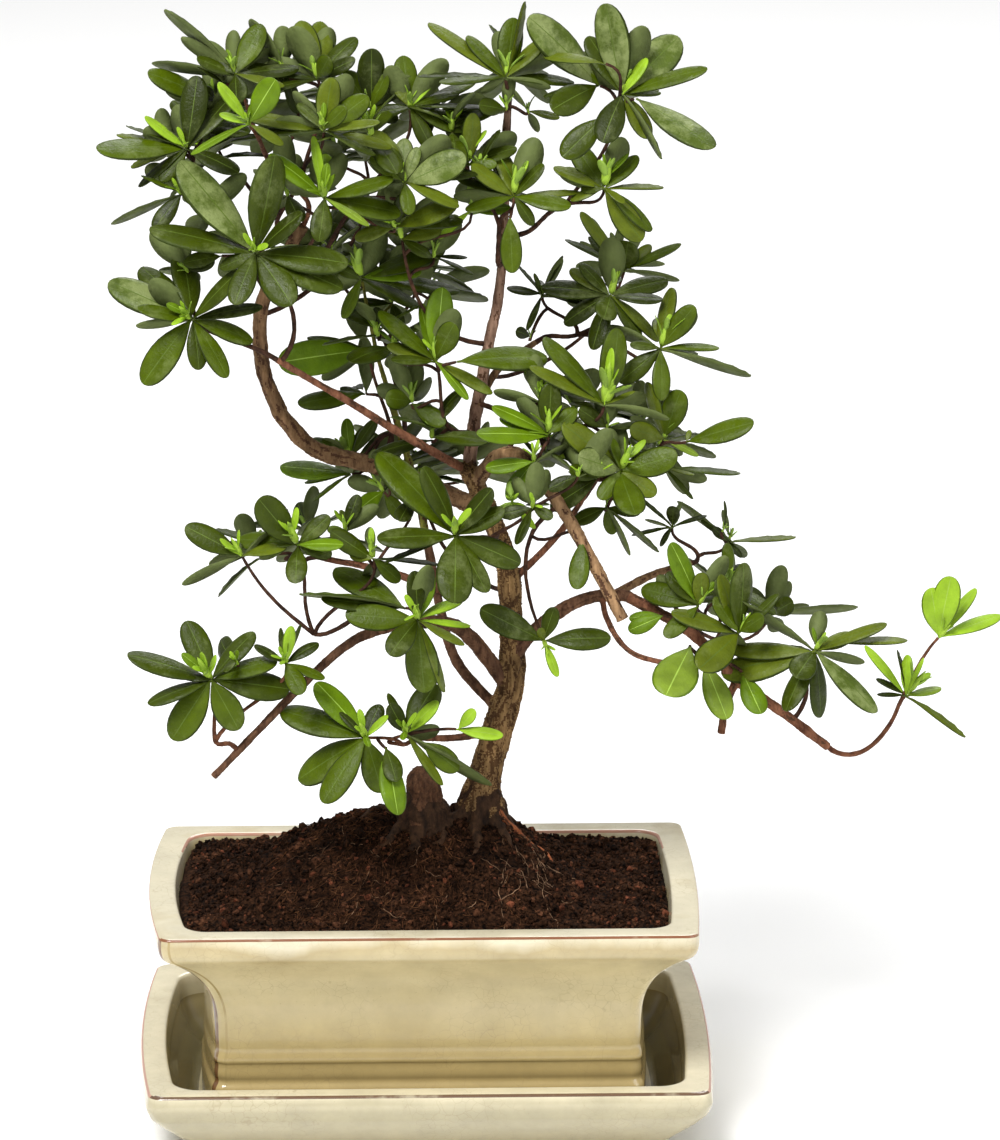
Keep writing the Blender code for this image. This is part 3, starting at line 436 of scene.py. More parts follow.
        (664, 440, -4, 0.95, 2, "dark", ((646, 384, 13, "olive"), (678, 395, 26, "green"),
         (632, 430, 22, "olive"), (700, 453, 8, "pale"))),
        (686, 442, -14, 1.1, 0, "right", ((751, 424, 22, "green"), (690, 430, 6))),
        (598, 478, -24, 0.85, 2, "dark", ((550, 509, 21, "deep"), (570, 470, 16, "dark"))),
        (664, 468, -10, 0.85, 1, "right", ((738, 473, 7, "dark"), (692, 475, 4),
         (694, 497, 6, "dark"))),
        (606, 508, -8, 0.7, 0, "deep", ((612, 536, 14, "green"), (574, 522, 16, "dark"),
         (640, 512, 12, "dark"), (660, 550, -6, "olive"), (633, 555, -6, "olive"))),
    ),
    "right_cluster_back": (
        None,
        None,
        (640, 430, 46, 0.85, 7, "deep"),
    ),
    "centre_front": (
        (532, 508, -36, 0.8, 3, "dark", ((552, 518, 12), (514, 542, 10, "deep"),
         (500, 514, 14, "deep"))),
        (456, 536, -36, 1.05, 1, "fresh", ((380, 452, 33, "green"), (428, 468, 22, "dark"),
         (379, 540, 22, "dark"), (385, 562, 5, "deep"), (455, 598, 37, "dark"), (485, 592, 22, "dark"),
         (520, 563, 27, "dark"), (503, 510, 19, "dark"), (491, 490, 20, "deep"))),
        (512, 502, -30, 0.5, 1, "lime", ((536, 528, 8, "young"), (510, 520, 9, "bright"),
         (530, 512, 8, "young"))),
        (578, 476, -30, 0.9, 4, "deep", ((548, 488, 14, "deep"),)),
    ),
    "centre_back": (
        None,
        (398, 470, 52, 0.9, 8, "deep"),
        (470, 470, 56, 0.9, 7, "deep"),
    ),
    "front_low": (
        (418, 620, -44, 0.92, 1, "fresh", ((430, 571, 20, "bright"), (460, 596, 12, "young"),
         (470, 624, 7, "young"), (347, 616, 27, "green"), (390, 652, 25, "dark"),
         (424, 692, 34, "green"), (449, 690, 10, "olive"), (464, 644, 9, "olive"),
         (416, 572, 18, "deep"))),
        (406, 608, -34, 1, 0, "left", ((336, 566, 26, "green"), (327, 600, 16, "dark"),
         (306, 585, -6))),
    ),
    "hanging_right": (
        (544, 640, -24, 0.8, 0, "star", ((481, 609, 28, "dark"), (610, 637, 23, "dark"),
         (553, 607, 17, "dark"), (557, 675, 10, "young"), (540, 628, 10, "olive"))),
        (581, 538, -26, 0.75, 0, "hang", ((577, 587, 21, "green"),)),
    ),
    "right_back": (
        (672, 528, 20, 0.62, 1, "narrow", ((672, 510, 14, "deep"), (640, 499, 4), (658, 548, 6),
         (706, 515, 5, "deep"), (630, 534, 4))),
        (728, 542, 26, 1, 1, "narrow", ((680, 499, -7), (797, 537, 6, "olive"), (743, 557, 7),
         (736, 567, 4), (700, 522, 7, "deep"), (712, 528, 10, "deep"))),
        (722, 532, 24, 0.5, 2, "narrow"),
    ),
    "right_mass": (
        (698, 606, -26, 0.95, 2, "green", ((673, 545, 21, "bright"), (702, 574, 18, "olive"),
         (640, 590, 25, "green"), (668, 572, 18, "dark"), (664, 636, 18, "green"))),
        (738, 634, -30, 1, 2, "green", ((672, 612, 17, "olive"), (699, 670, 33, "olive"),
         (744, 566, 23, "dark"), (722, 575, 18, "olive"), (776, 596, 11, "dark"),
         (760, 620, 18, "green"), (712, 600, 16, "green"))),
        (664, 616, -18, 0.8, 0, "left", ((631, 618, 12, "bright"), (630, 631, 17, "bright"))),
        (722, 594, -6, 0.85, 3, "dark"),
    ),
    "right_mass_back": (
        (770, 616, 36, 0.8, 6, "deep", ((790, 604, 20, "dark"), (857, 603, -9))),
        (722, 600, 34, 0.75, 6, "deep"),
    ),
    "right_outer": (
        (814, 652, -30, 0.95, 1, "wax", ((735, 598, -10), (884, 621, 12, "olive"),
         (853, 637, 15, "olive"), (864, 661, -10), (792, 678, 27, "dark"), (877, 709, 20, "wax"),
         (824, 720, 19, "dark"), (780, 707, 19, "dark"), (722, 676, 30, "olive"),
         (730, 650, 18, "olive"))),
        (836, 644, -28, 1.1, 0, "right", ((904, 635, 8, "olive"),)),
    ),
    "right_under": (
        (690, 646, -30, 0.95, 0, "pale", ((666, 690, 44, "pale"),)),
        (704, 662, -28, 1, 0, "pale", ((726, 716, 27, "pale"),)),
        (742, 672, -28, 1, 0, "pale", ((758, 711, 24, "bright"),)),
    ),
    "right_tip": (
        (905, 696, -12, 0.85, 0, "sparse", ((866, 645, 10, "young"), (877, 677, 7, "deep"),
         (876, 694, 5, "deep"), (902, 650, 5, "deep"), (906, 656, 12, "young"), (941, 686, 9, "pale"),
         (969, 733, 7, "olive"), (920, 660, 4, "young"))),
        (938, 638, -12, 0.85, 0, "lime", ((929, 590, 25, "young"), (947, 578, 28, "young"),
         (977, 588, 12, "young"), (1003, 617, 14, "young"))),
    ),
    "low_left_back": (
        (262, 556, 50, 0.85, 7, "deep"),
        (312, 540, 52, 0.85, 7, "deep"),
    ),
    "low_left_top": (
        (242, 556, -36, 0.7, 1, "fresh", ((186, 528, 24, "dark"), (183, 583, -10),
         (285, 544, 13, "olive"), (221, 540, 6, "young"))),
        (298, 546, -32, 0.85, 1, "tall", ((260, 501, 32, "dark"), (238, 538, 21, "green"),
         (328, 516, 18, "dark"), (332, 554, 16, "dark"), (343, 545, 13, "bright"),
         (296, 581, 22, "dark"))),
        (374, 560, -30, 0.85, 1, "fresh", ((332, 533, 20, "dark"), (400, 582, 16, "green"),
         (440, 562, 5, "deep"), (350, 556, 12, "olive"))),
        (346, 532, -24, 0.8, 1, "dark", ((358, 497, 15, "deep"), (328, 532, 9, "green"))),
        (412, 500, -20, 0.6, 0, "narrow", ((400, 520, 18, "deep"),)),
    ),
    "low_left_outer": (
        (212, 680, -44, 0.92, 0, "tall", ((132, 653, 19, "dark"), (190, 621, 27, "dark"),
         (252, 632, 20, "dark"), (275, 658, 19, "green"), (289, 691, 29, "dark"), (149, 700, 15, "dark"),
         (172, 740, 33, "green"), (238, 731, 29, "green"), (180, 674, 9, "deep"))),
        (286, 664, -42, 0.62, 0, "sparse", ((256, 644, 9, "deep"), (317, 642, 12, "deep"),
         (278, 630, 7, "deep"), (300, 625, 5, "deep"), (325, 678, 10, "green"), (304, 693, 20, "green"),
         (294, 628, 12, "young"))),
        (238, 664, -42, 0.6, 2, "deep"),
    ),
    "low_front": (
        (366, 738, -46, 0.98, 0, "bright", ((318, 683, 25, "bright"), (280, 711, 27, "green"),
         (297, 782, 30, "green"), (323, 801, 27, "green"), (382, 794, 28, "green"),
         (378, 704, 18, "deep"), (340, 712, 8, "deep"), (386, 714, 8, "young"))),
        (406, 734, -42, 0.8, 1, "fresh", ((390, 706, 18, "deep"), (391, 693, 9, "dark"),
         (438, 702, 14, "young"), (434, 684, 29, "dark"), (442, 786, 10, "olive"), (487, 789, -12))),
        (386, 748, -48, 0.8, 0, "hang", ((398, 780, 20, "dark"), (397, 812, 25, "bright"))),
        (420, 742, -42, 0.85, 0, "right", ((457, 770, 23, "green"),)),
        (456, 729, -40, 0.5, 0, "lime_right", ((502, 735, 13, "young"), (473, 710, 13, "young"))),
    ),
}

# ---------------------------------------------------------------- growth sizes

ARC_PULL = 0.42
STEM_RADIUS, TWIG_RADIUS = 1.05, 0.62
STEM_FOOT = 1.5
STEM_GAP = CLEAR + 0.06
FORK_SHARE, FORK_DROP = 0.55, 3
HUB_SWAY, AXIS_SWAY = 2, 0.15
BEND, BEND_REACH = 0.08, 10
CROWN_AXIS, CROWN_HALF, LEAN = 20, (150, 65), 0.7
GOLDEN_ANGLE = math.pi * (3 - math.sqrt(5))
FIRST_SEED = 100
ROOT_FLARE, ROOT_FLARE_HEIGHT = 3, 6
LINE_STEPS = 8  # straight lengths between two guide points of a limb
TWIG_STEPS, SHOOT_STEPS = 14, 8
TWIG_SIDES, TWIG_ROUGH = 7, 0.12
SHOOT_RADIUS = 0.7
SHOOT_SHARES = (0.3, 0.45, 0.6, 0.75, 0.9)  # where finer shoots can leave a twig

LEAF_LENGTH = 31
WHORL_RISE = 6
TOP_SHORTER = 0.35  # how much shorter a rosette's topmost leaf is
LEAF_ROLL = 0.4
TURN_SWAY, PITCH_SWAY, LENGTH_SWAY, WIDTH_SWAY = 0.2, 0.16, 0.16, 0.15
# Ranges of a leaf's rise, drop, sideways sway and fold: in a whorl, and of one seen by itself.
WHORL_SHAPE = ((0.02, 0.2), (0.08, 0.34), (-0.1, 0.1), (0.15, 0.5))
SEEN_SHAPE = ((0.02, 0.08), (0.05, 0.14), (-0.05, 0.05), (0.15, 0.4))

HEART_SIZE, HEART_RISE, HEART_DROP = 0.36, 0.02, 0.1  # of the young leaves at a rosette's heart
BUD_LENGTH = (9, 13)
BUD_SHARES = (0, 0.25, 0.55, 0.8, 1)  # where a bud's radii stand along its length
BUD_RADII, BUD_TIP = (1.0, 1.5, 1.25, 0.75), 0.15

# ---------------------------------------------------------------- mesh helpers


class Skin:
    """Vertices in millimetres, faces and their material numbers, gathered for one piece."""

    def __init__(self):
        self.vertices, self.faces, self.slots = [], [], []

    def add(self, vertices, faces, slot=0):
        base = len(self.vertices)
        self.vertices.extend(vertices)
        self.faces.extend([tuple(base + i for i in face) for face in faces])
        self.slots.extend([slot] * len(faces) if isinstance(slot, int) else slot)

    def piece(self, name, materials, finish, nodes=(), smooth=True):
        mesh = bpy.data.meshes.new(name)
        mesh.from_pydata([tuple(c * MM for c in v) for v in self.vertices], [], self.faces)
        piece(name, mesh, materials, self.slots, nodes, smooth)


def placed(name, data):
    """A new object in the scene."""
    obj = bpy.data.objects.new(name, data)
    bpy.context.scene.collection.objects.link(obj)
    return obj


def piece(name, mesh, materials, slots, nodes, smooth=True):
    """A piece of the plant, with a material for each face by its number."""
    mesh.materials.clear()
    for material in materials:
        mesh.materials.append(material)
    mesh.polygons.foreach_set("material_index", slots)
    mesh.polygons.foreach_set("use_smooth", [smooth] * len(slots))
    mesh.update()
    obj = placed(name, mesh)
    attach(obj, "root")
    if nodes:
        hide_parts(*nodes)


def frames(line):
    """Points of a line with headings and two sides that turn with it as little as they can."""
    line = [Vector(p) for p in line]
    found = []
    side = None
    for i, point in enumerate(line):
        heading = (line[min(i + 1, len(line) - 1)] - line[max(i - 1, 0)]).normalized()
        side = side or heading.orthogonal()
        side = (side - heading * side.dot(heading)).normalized()
        found.append((point, heading, side, heading.cross(side)))
    return found


def tube(skin, line, radii, sides, slot=0, rng=None, rough=0.0):
    """Adds a tapering tube. Its ends are fans, so that the surface is closed."""
    vertices, faces = [], []
    for (point, heading, side, other), radius in zip(frames(line), radii):
        for k in range(sides):
            angle = math.tau * k / sides
            out = radius * (1 + (rng.uniform(-rough, rough) if rng else 0))
            vertices.append(point + (side * math.cos(angle) + other * math.sin(angle)) * out)
    rings = len(radii)
    for i in range(rings - 1):
        for k in range(sides):
            j = (k + 1) % sides
            faces.append((i * sides + k, i * sides + j, (i + 1) * sides + j, (i + 1) * sides + k))
    last = len(vertices)
    vertices.append(Vector(line[-1]))
    vertices.append(Vector(line[0]))
    faces += [((rings - 1) * sides + k, (rings - 1) * sides + (k + 1) % sides, last)
              for k in range(sides)]
    faces += [((k + 1) % sides, k, last + 1) for k in range(sides)]
    skin.add(vertices, faces, slot)


def fractal(point, octaves):
    """Layers of smooth noise, from about -1 to 1."""
    total, size = 0.0, 1.0
    for octave in range(octaves):
        total += noise.noise(point * 2.03**octave) * size
        size *= 0.5
    return total


# ---------------------------------------------------------------- materials


def add_node(tree, kind, inputs=None, **settings):
    """A shader node whose inputs are values or other nodes' sockets."""
    node = tree.nodes.new("ShaderNode" + kind)
    for key, value in settings.items():
        setattr(node, key, value)
    for key, value in (inputs or {}).items():
        if isinstance(value, bpy.types.NodeSocket):
            tree.links.new(value, node.inputs[key])
        else:
            node.inputs[key].default_value = value
    return node


def principled(name, roughness, **sockets):
    """A new material, its node tree and its shader."""
    material = bpy.data.materials.new(name)
    material.use_nodes = True
    shader = material.node_tree.nodes["Principled BSDF"]
    shader.inputs["Roughness"].default_value = roughness
    for key, value in sockets.items():
        shader.inputs[key.replace("_", " ")].default_value = value
    return material, material.node_tree, shader


def places(tree, stretch=(1, 1, 1)):
    """Positions on the object, in metres, squeezed along an axis for streaks."""
    where = add_node(tree, "TexCoord").outputs["Object"]
    return add_node(tree, "Mapping", {"Vector": where, "Scale": stretch}).outputs[0]


def cloud(tree, where, scale, detail=3.0, roughness=0.55):
    """Soft noise from 0 to 1. The scale is in blots per metre."""
    return add_node(tree, "TexNoise", {"Vector": where, "Scale": scale, "Detail": detail,
                                       "Roughness": roughness}).outputs["Fac"]


def ramp(tree, value, stops):
    """Colours or greys by value, between stops given as (place, colour)."""
    node = add_node(tree, "ValToRGB", {0: value})
    points = node.color_ramp.elements
    while len(points) < len(stops):
        points.new(0.5)
    for point, (place, colour) in zip(points, stops):
        point.position = place
        point.color = (*((colour,) * 3 if isinstance(colour, (int, float)) else colour), 1)
    return node.outputs[0]


def mix(tree, share, first, second, blend="MIX"):
    """The first colour, with a share of the second over it."""
    node = add_node(tree, "Mix", data_type="RGBA", blend_type=blend)
    for index, value in ((0, share), (6, first), (7, second)):
        if isinstance(value, bpy.types.NodeSocket):
            tree.links.new(value, node.inputs[index])
        else:
            node.inputs[index].default_value = (*value, 1) if isinstance(value, tuple) else value
    return node.outputs[2]


def combined(tree, operation, first, second, kind="Math"):
    """A sum, difference or product of two values or vectors."""
    return add_node(tree, kind, {0: first, 1: second}, operation=operation).outputs[0]


def bump(tree, shader, height, distance, strength):
    """Relief of the shader's surface, with its greatest height in metres."""
    node = add_node(tree, "Bump", {"Height": height, "Distance": distance, "Strength": strength})
    tree.links.new(node.outputs[0], shader.inputs["Normal"])


def tinted(colour, factor):
    return tuple(min(1.0, c * factor) for c in colour)


def leaf_material(name, colour, roughness, wax, gloss=0.15):
    """Leaf: clouded colour, grey patches that are partly waxy bloom and partly painted sheen, and a
    finely wrinkled, patchy gloss.
    """
    material, tree, shader = principled(name, roughness, Specular_IOR_Level=gloss)
    where = places(tree)
    patches = cloud(tree, where, 130)
    base = ramp(tree, patches, ((0.3, tinted(colour, 0.78)), (0.7, tinted(colour, 1.2))))
    clear = 0.54 if wax < 0.5 else 0.42  # a leaf with more wax and painted sheen has wider patches
    bloom_and_sheen = ramp(tree, cloud(tree, where, 75, 6, 0.72), ((clear, 0.0), (clear + 0.16, wax)))
    tree.links.new(mix(tree, bloom_and_sheen, base, WAX_AND_SHEEN), shader.inputs["Base Color"])
    shine = ramp(tree, cloud(tree, where, 220), ((0.35, roughness - 0.08), (0.65, roughness + 0.14)))
    tree.links.new(shine, shader.inputs["Roughness"])
    bump(tree, shader, cloud(tree, where, 900, 3), 0.0005, 0.5)
    return material


def earth_material(name, dark, light, scale=700):
    """Moist crumbs, almost without gloss."""
    material, tree, shader = principled(name, 0.95, Specular_IOR_Level=0.06)
    grains = cloud(tree, places(tree), scale, 5, 0.7)
    blotches = ramp(tree, cloud(tree, places(tree), 90, 3), ((0.34, 0.4), (0.66, 1.5)))
    base = mix(tree, 1.0, ramp(tree, grains, ((0.4, dark), (0.62, light))), blotches, "MULTIPLY")
    tree.links.new(base, shader.inputs["Base Color"])
    bump(tree, shader, grains, 0.0008, 0.9)
    return material


def bark_material(name, dark, light, stretch=(1, 1, 0.3), scale=420):
    """Bark whose furrows are darker than its ridges."""
    material, tree, shader = principled(name, 0.85, Specular_IOR_Level=0.15)
    where = places(tree, stretch)
    flakes = cloud(tree, where, scale, 5, 0.65)
    blotches = cloud(tree, places(tree), 70, 2)
    middle = tuple((a + b) / 2 for a, b in zip(dark, light))
    base = ramp(tree, flakes, ((0.32, dark), (0.5, middle), (0.68, light)))
    shade = ramp(tree, blotches, ((0.3, 0.62), (0.7, 1.15)))
    tree.links.new(mix(tree, 1.0, base, shade, "MULTIPLY"), shader.inputs["Base Color"])
    bump(tree, shader, flakes, 0.0006, 0.8)
    return material


STREAKS = 0.22  # how far streaks move the glaze's bands, as a share of the height
CRACKLE = 0.34  # strongest mark of a crack
CRACKS_PER_METRE, CRACK_WOBBLE = 270.0, 0.004
CRACK_BROWN = (0.24, 0.17, 0.08)
PINS_PER_METRE = 330.0
PIN_BROWN = (0.3, 0.22, 0.11)


def glaze_material(name, stops, low, high, line=None):
    """Glaze whose colour changes with the height, partly as painted shade, with fine crackle and pin
    marks under its gloss.

    A line is the worn colour of an edge, laid over the glaze in patches.
    """
    material, tree, shader = principled(name, 0.2, Coat_Weight=0.5, Coat_Roughness=0.08)
    where = places(tree)
    height = add_node(tree, "SeparateXYZ", {0: add_node(tree, "TexCoord").outputs["Object"]})
    share = add_node(tree, "MapRange", {"Value": height.outputs["Z"], "From Min": low * MM,
                                        "From Max": high * MM}).outputs[0]
    streaks = cloud(tree, places(tree, (1, 1, 0.35)), 26, 4)
    level = combined(tree, "ADD", share, combined(tree, "MULTIPLY", streaks, STREAKS))
    level = combined(tree, "SUBTRACT", level, STREAKS / 2)
    base = ramp(tree, level, stops)
    fog = ramp(tree, cloud(tree, where, 60, 5, 0.7), ((0.3, 0.88), (0.7, 1.06)))
    base = mix(tree, 1.0, base, fog, "MULTIPLY")
    wobble = add_node(tree, "TexNoise", {"Vector": where, "Scale": 150.0}).outputs["Color"]
    wobble = combined(tree, "MULTIPLY", wobble, (CRACK_WOBBLE,) * 3, "VectorMath")
    bent = combined(tree, "ADD", where, wobble, "VectorMath")
    cracks = add_node(tree, "TexVoronoi", {"Vector": bent, "Scale": CRACKS_PER_METRE},
                      feature="DISTANCE_TO_EDGE").outputs["Distance"]
    lines = ramp(tree, cracks, ((0.0, 1.0), (0.035, 0.0)))
    patchy = ramp(tree, cloud(tree, where, 45, 2), ((0.42, 0.0), (0.62, CRACKLE)))
    lines = mix(tree, 1.0, lines, patchy, "MULTIPLY")
    base = mix(tree, lines, base, CRACK_BROWN)
    pins = add_node(tree, "TexVoronoi", {"Vector": where, "Scale": PINS_PER_METRE}).outputs["Distance"]
    pins = ramp(tree, pins, ((0.05, 0.35), (0.1, 0.0)))
    base = mix(tree, pins, base, PIN_BROWN)
    if line:
        worn = ramp(tree, cloud(tree, where, 70, 4), ((0.28, 0.45), (0.42, 0.95)))
        base = mix(tree, worn, base, line)
    tree.links.new(base, shader.inputs["Base Color"])
    bump(tree, shader, cloud(tree, where, 60, 2), 0.0006, 0.25)
    return material


# The grey-green of the leaves' patches: partly waxy bloom, partly painted sheen that stands in for the
# lamps' reflection.
WAX_AND_SHEEN = (0.21, 0.25, 0.09)
LEAF_TINTS = {
    "deep": (0.020, 0.029, 0.001),
    "dark": (0.034, 0.050, 0.001),
    "green": (0.054, 0.082, 0.001),
    "olive": (0.082, 0.108, 0.005),
    "bright": (0.095, 0.165, 0.003),
    "pale": (0.150, 0.220, 0.020),
    "young": (0.240, 0.390, 0.020),
    "wax": (0.060, 0.088, 0.010),
}
TINT_NAMES = tuple(LEAF_TINTS)
# The margins are darker than the leaf tops: painted shade where the edges roll down away from the light.
RIB, PALE_RIB, UNDER, PALE_UNDER, SHADED_MARGIN, PALE_SHADED_MARGIN = range(len(TINT_NAMES), len(TINT_NAMES) + 6)
PALE = ("pale", "young", "bright")


def leaf_materials():
    # How much of the patches' waxy bloom and painted sheen each tint gets.
    bloom_and_sheen = {"wax": 0.75, **dict.fromkeys(PALE, 0.08)}
    tops = [leaf_material("leaf_" + name, colour, 0.36, bloom_and_sheen.get(name, 0.35))
            for name, colour in LEAF_TINTS.items()]
    return tops + [
        leaf_material("leaf_rib", (0.075, 0.115, 0.012), 0.5, 0.2, 0.2),
        leaf_material("leaf_pale_rib", (0.28, 0.42, 0.06), 0.5, 0.1, 0.2),
        leaf_material("leaf_underside", (0.095, 0.120, 0.035), 0.6, 0.3, 0.15),
        leaf_material("leaf_pale_underside", (0.22, 0.34, 0.05), 0.6, 0.2, 0.15),
        # Darker margins: painted shade on the rolled-down edges.
        leaf_material("leaf_shaded_margin", (0.026, 0.040, 0.002), 0.45, 0.1),
        leaf_material("leaf_pale_shaded_margin", (0.100, 0.170, 0.006), 0.45, 0.05),
    ]


# ---------------------------------------------------------------- growth, by the source's rule


def smooth_line(points, steps):
    """A Catmull-Rom curve through the guide points."""
    guide = [Vector(p) for p in points]
    padded = [guide[0] * 2 - guide[1], *guide, guide[-1] * 2 - guide[-2]]
    line = []
    for a, b, c, d in zip(padded, padded[1:], padded[2:], padded[3:]):
        for step in range(steps):
            t = step / steps
            line.append(0.5 * (2 * b + (c - a) * t + (2 * a - 5 * b + 4 * c - d) * t * t
                               + (3 * b - a - 3 * c + d) * t**3))
    return [*line, guide[-1]]


def arc_line(start, heading, end, arrival, steps):
    """A curve that leaves start along one direction and reaches end along another."""
    reach = (end - start).length * ARC_PULL
    first, second = start + heading * reach, end - arrival * reach
    line = []
    for step in range(steps + 1):
        t = step / steps
        line.append(start * (1 - t)**3 + first * (3 * t * (1 - t)**2)
                    + second * (3 * t * t * (1 - t)) + end * t**3)
    return line


def along(line, radii, share):
    """The point, the heading and the radius at a share of a tapering line's length."""
    lengths = [(b - a).length for a, b in zip(line, line[1:])]
    left = share * sum(lengths)
    i = 0
    while i < len(lengths) - 1 and left > lengths[i]:
        left -= lengths[i]
        i += 1
    part = min(left / lengths[i], 1)
    heading = (line[i + 1] - line[i]).normalized()
    return line[i].lerp(line[i + 1], part), heading, radii[i] + (radii[i + 1] - radii[i]) * part


def limb_radii(limb, line, foot):
    """Radii that taper evenly, with a root flare on a stem that stands on the ground."""
    radii = []
    for i, point in enumerate(line):
        radius = limb.start + (limb.end - limb.start) * i / (len(line) - 1)
        if foot:
            radius += ROOT_FLARE * math.exp(min(0, GROUND_Z - point.z) / ROOT_FLARE_HEIGHT)
        radii.append(radius)
    return radii


def drawn(rng, ranges):
    """A random number from each range."""
    return [rng.uniform(*ends) for ends in ranges]


def random_vector(rng, most):
    return Vector(drawn(rng, [(-most, most)] * 3))


def twig_axis(hub, tilt, rng):
    """The way a twig's tip points: up, out from the crown's middle and by the mass's tilt."""
    outward = Vector(((hub.x - CROWN_AXIS) / CROWN_HALF[0], hub.y / CROWN_HALF[1], 0)) * LEAN
    return (UP + outward + Vector(tilt) + random_vector(rng, AXIS_SWAY)).normalized()


Whorl = namedtuple("Whorl", "hub twig")


def grow_twigs(mass, limb_line, limb_radii, bend, rng):
    """The mass's stem and the whorls at the ends of its twigs."""
    start, heading, radius = along(limb_line, limb_radii, mass.at)
    root = start
    centre, spread = Vector(mass.centre), Vector(mass.spread)
    if mass.at == 1:
        leaving = heading
        foot = start + heading * STEM_GAP
    else:
        side = (centre - start).normalized() + random_vector(rng, bend)
        leaving = (side - heading * side.dot(heading)).normalized()
        foot = start + leaving * (radius + STEM_GAP)
    start = foot + leaving * STEM_FOOT
    hubs = []
    for i in range(mass.whorls):
        share = 2 * i / (mass.whorls - 1) - 1 if mass.whorls > 1 else 0
        hubs.append(centre + spread * share + random_vector(rng, HUB_SWAY))
    if mass.whorls == 1:
        axis = twig_axis(hubs[0], mass.tilt, rng)
        twig = [root, foot, *arc_line(start, leaving, hubs[0], axis, TWIG_STEPS)]
        return None, [Whorl(hubs[0], twig)]
    fork = start.lerp(centre, FORK_SHARE) - UP * FORK_DROP + random_vector(rng, bend * BEND_REACH)
    stem = [root, foot, *arc_line(start, leaving, fork, (centre - start).normalized(), TWIG_STEPS)]
    stem_end = (stem[-1] - stem[-2]).normalized()
    whorls = []
    for hub in hubs:
        axis = twig_axis(hub, mass.tilt, rng)
        leaving = (stem_end + (hub - fork).normalized()).normalized()
        whorls.append(Whorl(hub, arc_line(fork, leaving, hub, axis, TWIG_STEPS)))
    return stem, whorls


def taper(start, end, count):
    """Radii that shrink evenly."""
    return [start + (end - start) * i / (count - 1) for i in range(count)]


# ---------------------------------------------------------------- leaves

LEAF_ROWS = np.array([0, 0.05, 0.12, 0.22, 0.34, 0.46, 0.58, 0.7, 0.8, 0.88, 0.94, 0.98, 1.0])
LEAF_COLUMNS = np.array([-1, -0.9, -0.55, -0.032, 0.032, 0.55, 0.9, 1])
PETIOLE = 0.075  # half width of a leaf's foot against its widest
WIDEST = 0.6  # where along its length
RIPPLE, RIPPLED_COLUMN = 0.006, 0.55  # waves along a leaf's halves, against its length and width
KEEL_TIP, KEEL_MORE = 0.25, 0.45  # thickness under the midrib's tip, and how much more at its foot


def leaf_outline(u):
    """Half width of an obovate leaf along its length, against its widest."""
    rise = np.clip((u - 0.04) / (WIDEST - 0.04), 0, 1)
    base = PETIOLE + (1 - PETIOLE) * np.sin(rise * math.pi / 2)
    tip = np.sqrt(np.clip(1 - (np.clip(u - WIDEST, 0, 1) / (1.003 - WIDEST)) ** 2.3, 0, 1))
    return np.where(u < WIDEST, base, tip)


def leaf_template():
    """Faces of one leaf: a ribbed upper skin and a plain lower one that share their outline."""
    rows, columns = len(LEAF_ROWS), len(LEAF_COLUMNS)
    faces, parts = [], []
    for i in range(rows - 1):
        for k in range(columns - 1):
            here, ahead = i * columns + k, (i + 1) * columns + k
            faces.append((here, here + 1, ahead + 1, ahead))
            inner = "rib" if k == columns // 2 - 1 else "top"
            # The outer strips take the margins' painted shade.
            parts.append(inner if 0 < k < columns - 2 else "margin")
    keel = rows * columns
    for i in range(rows - 1):
        left, right = i * columns, i * columns + columns - 1
        faces.append((left, left + columns, keel + i + 1, keel + i))
        faces.append((keel + i, keel + i + 1, right + columns, right))
        parts += ["under", "under"]
    faces.append(tuple(range(columns - 1, -1, -1)) + (keel,))
    faces.append(tuple((rows - 1) * columns + k for k in range(columns)) + (keel + rows - 1,))
    parts += ["under", "under"]
    return faces, parts


LEAF_FACES, LEAF_PARTS = leaf_template()
Leaf = namedtuple("Leaf", "root direction normal length width rise drop sway fold tint")


def leaf_skin(skin, leaf):
    """Adds a leaf whose spine arches and droops, and whose halves rise from the midrib."""
    u = LEAF_ROWS[:, None]
    c = LEAF_COLUMNS[None, :]
    half = leaf.width / 2 * leaf_outline(u)
    direction, normal = np.array(leaf.direction), np.array(leaf.normal)
    side = np.cross(direction, normal)
    above = leaf.length * (leaf.rise * u - leaf.drop * u**2)
    arch = half * (leaf.fold * np.abs(c) - (leaf.fold * 0.8 + 0.2) * np.abs(c) ** 3)
    ripple = RIPPLE * (-1.0) ** np.arange(len(LEAF_ROWS))[:, None]
    arch = arch + leaf.length * ripple * (np.abs(np.abs(c) - RIPPLED_COLUMN) < 0.1)
    across = half * c + leaf.length * leaf.sway * u**2
    reach = leaf.length * u * (1 - 0.35 * (leaf.rise - leaf.drop) ** 2)
    root = np.array(leaf.root)

    def place(along_it, across_it, over):
        along_it, across_it, over = np.broadcast_arrays(along_it, across_it, over)
        return (root + along_it[..., None] * direction + across_it[..., None] * side
                + over[..., None] * normal)

    top = place(reach, across, above + arch).reshape(-1, 3)
    keel_depth = KEEL_TIP + KEEL_MORE * (1 - u)
    keel = place(reach, leaf.length * leaf.sway * u**2, above - keel_depth).reshape(-1, 3)
    pale = leaf.tint in PALE
    slots = {"top": TINT_NAMES.index(leaf.tint), "rib": PALE_RIB if pale else RIB,
             "under": PALE_UNDER if pale else UNDER, "margin": PALE_SHADED_MARGIN if pale else SHADED_MARGIN}
    skin.add([*map(tuple, top), *map(tuple, keel)], LEAF_FACES, [slots[p] for p in LEAF_PARTS])


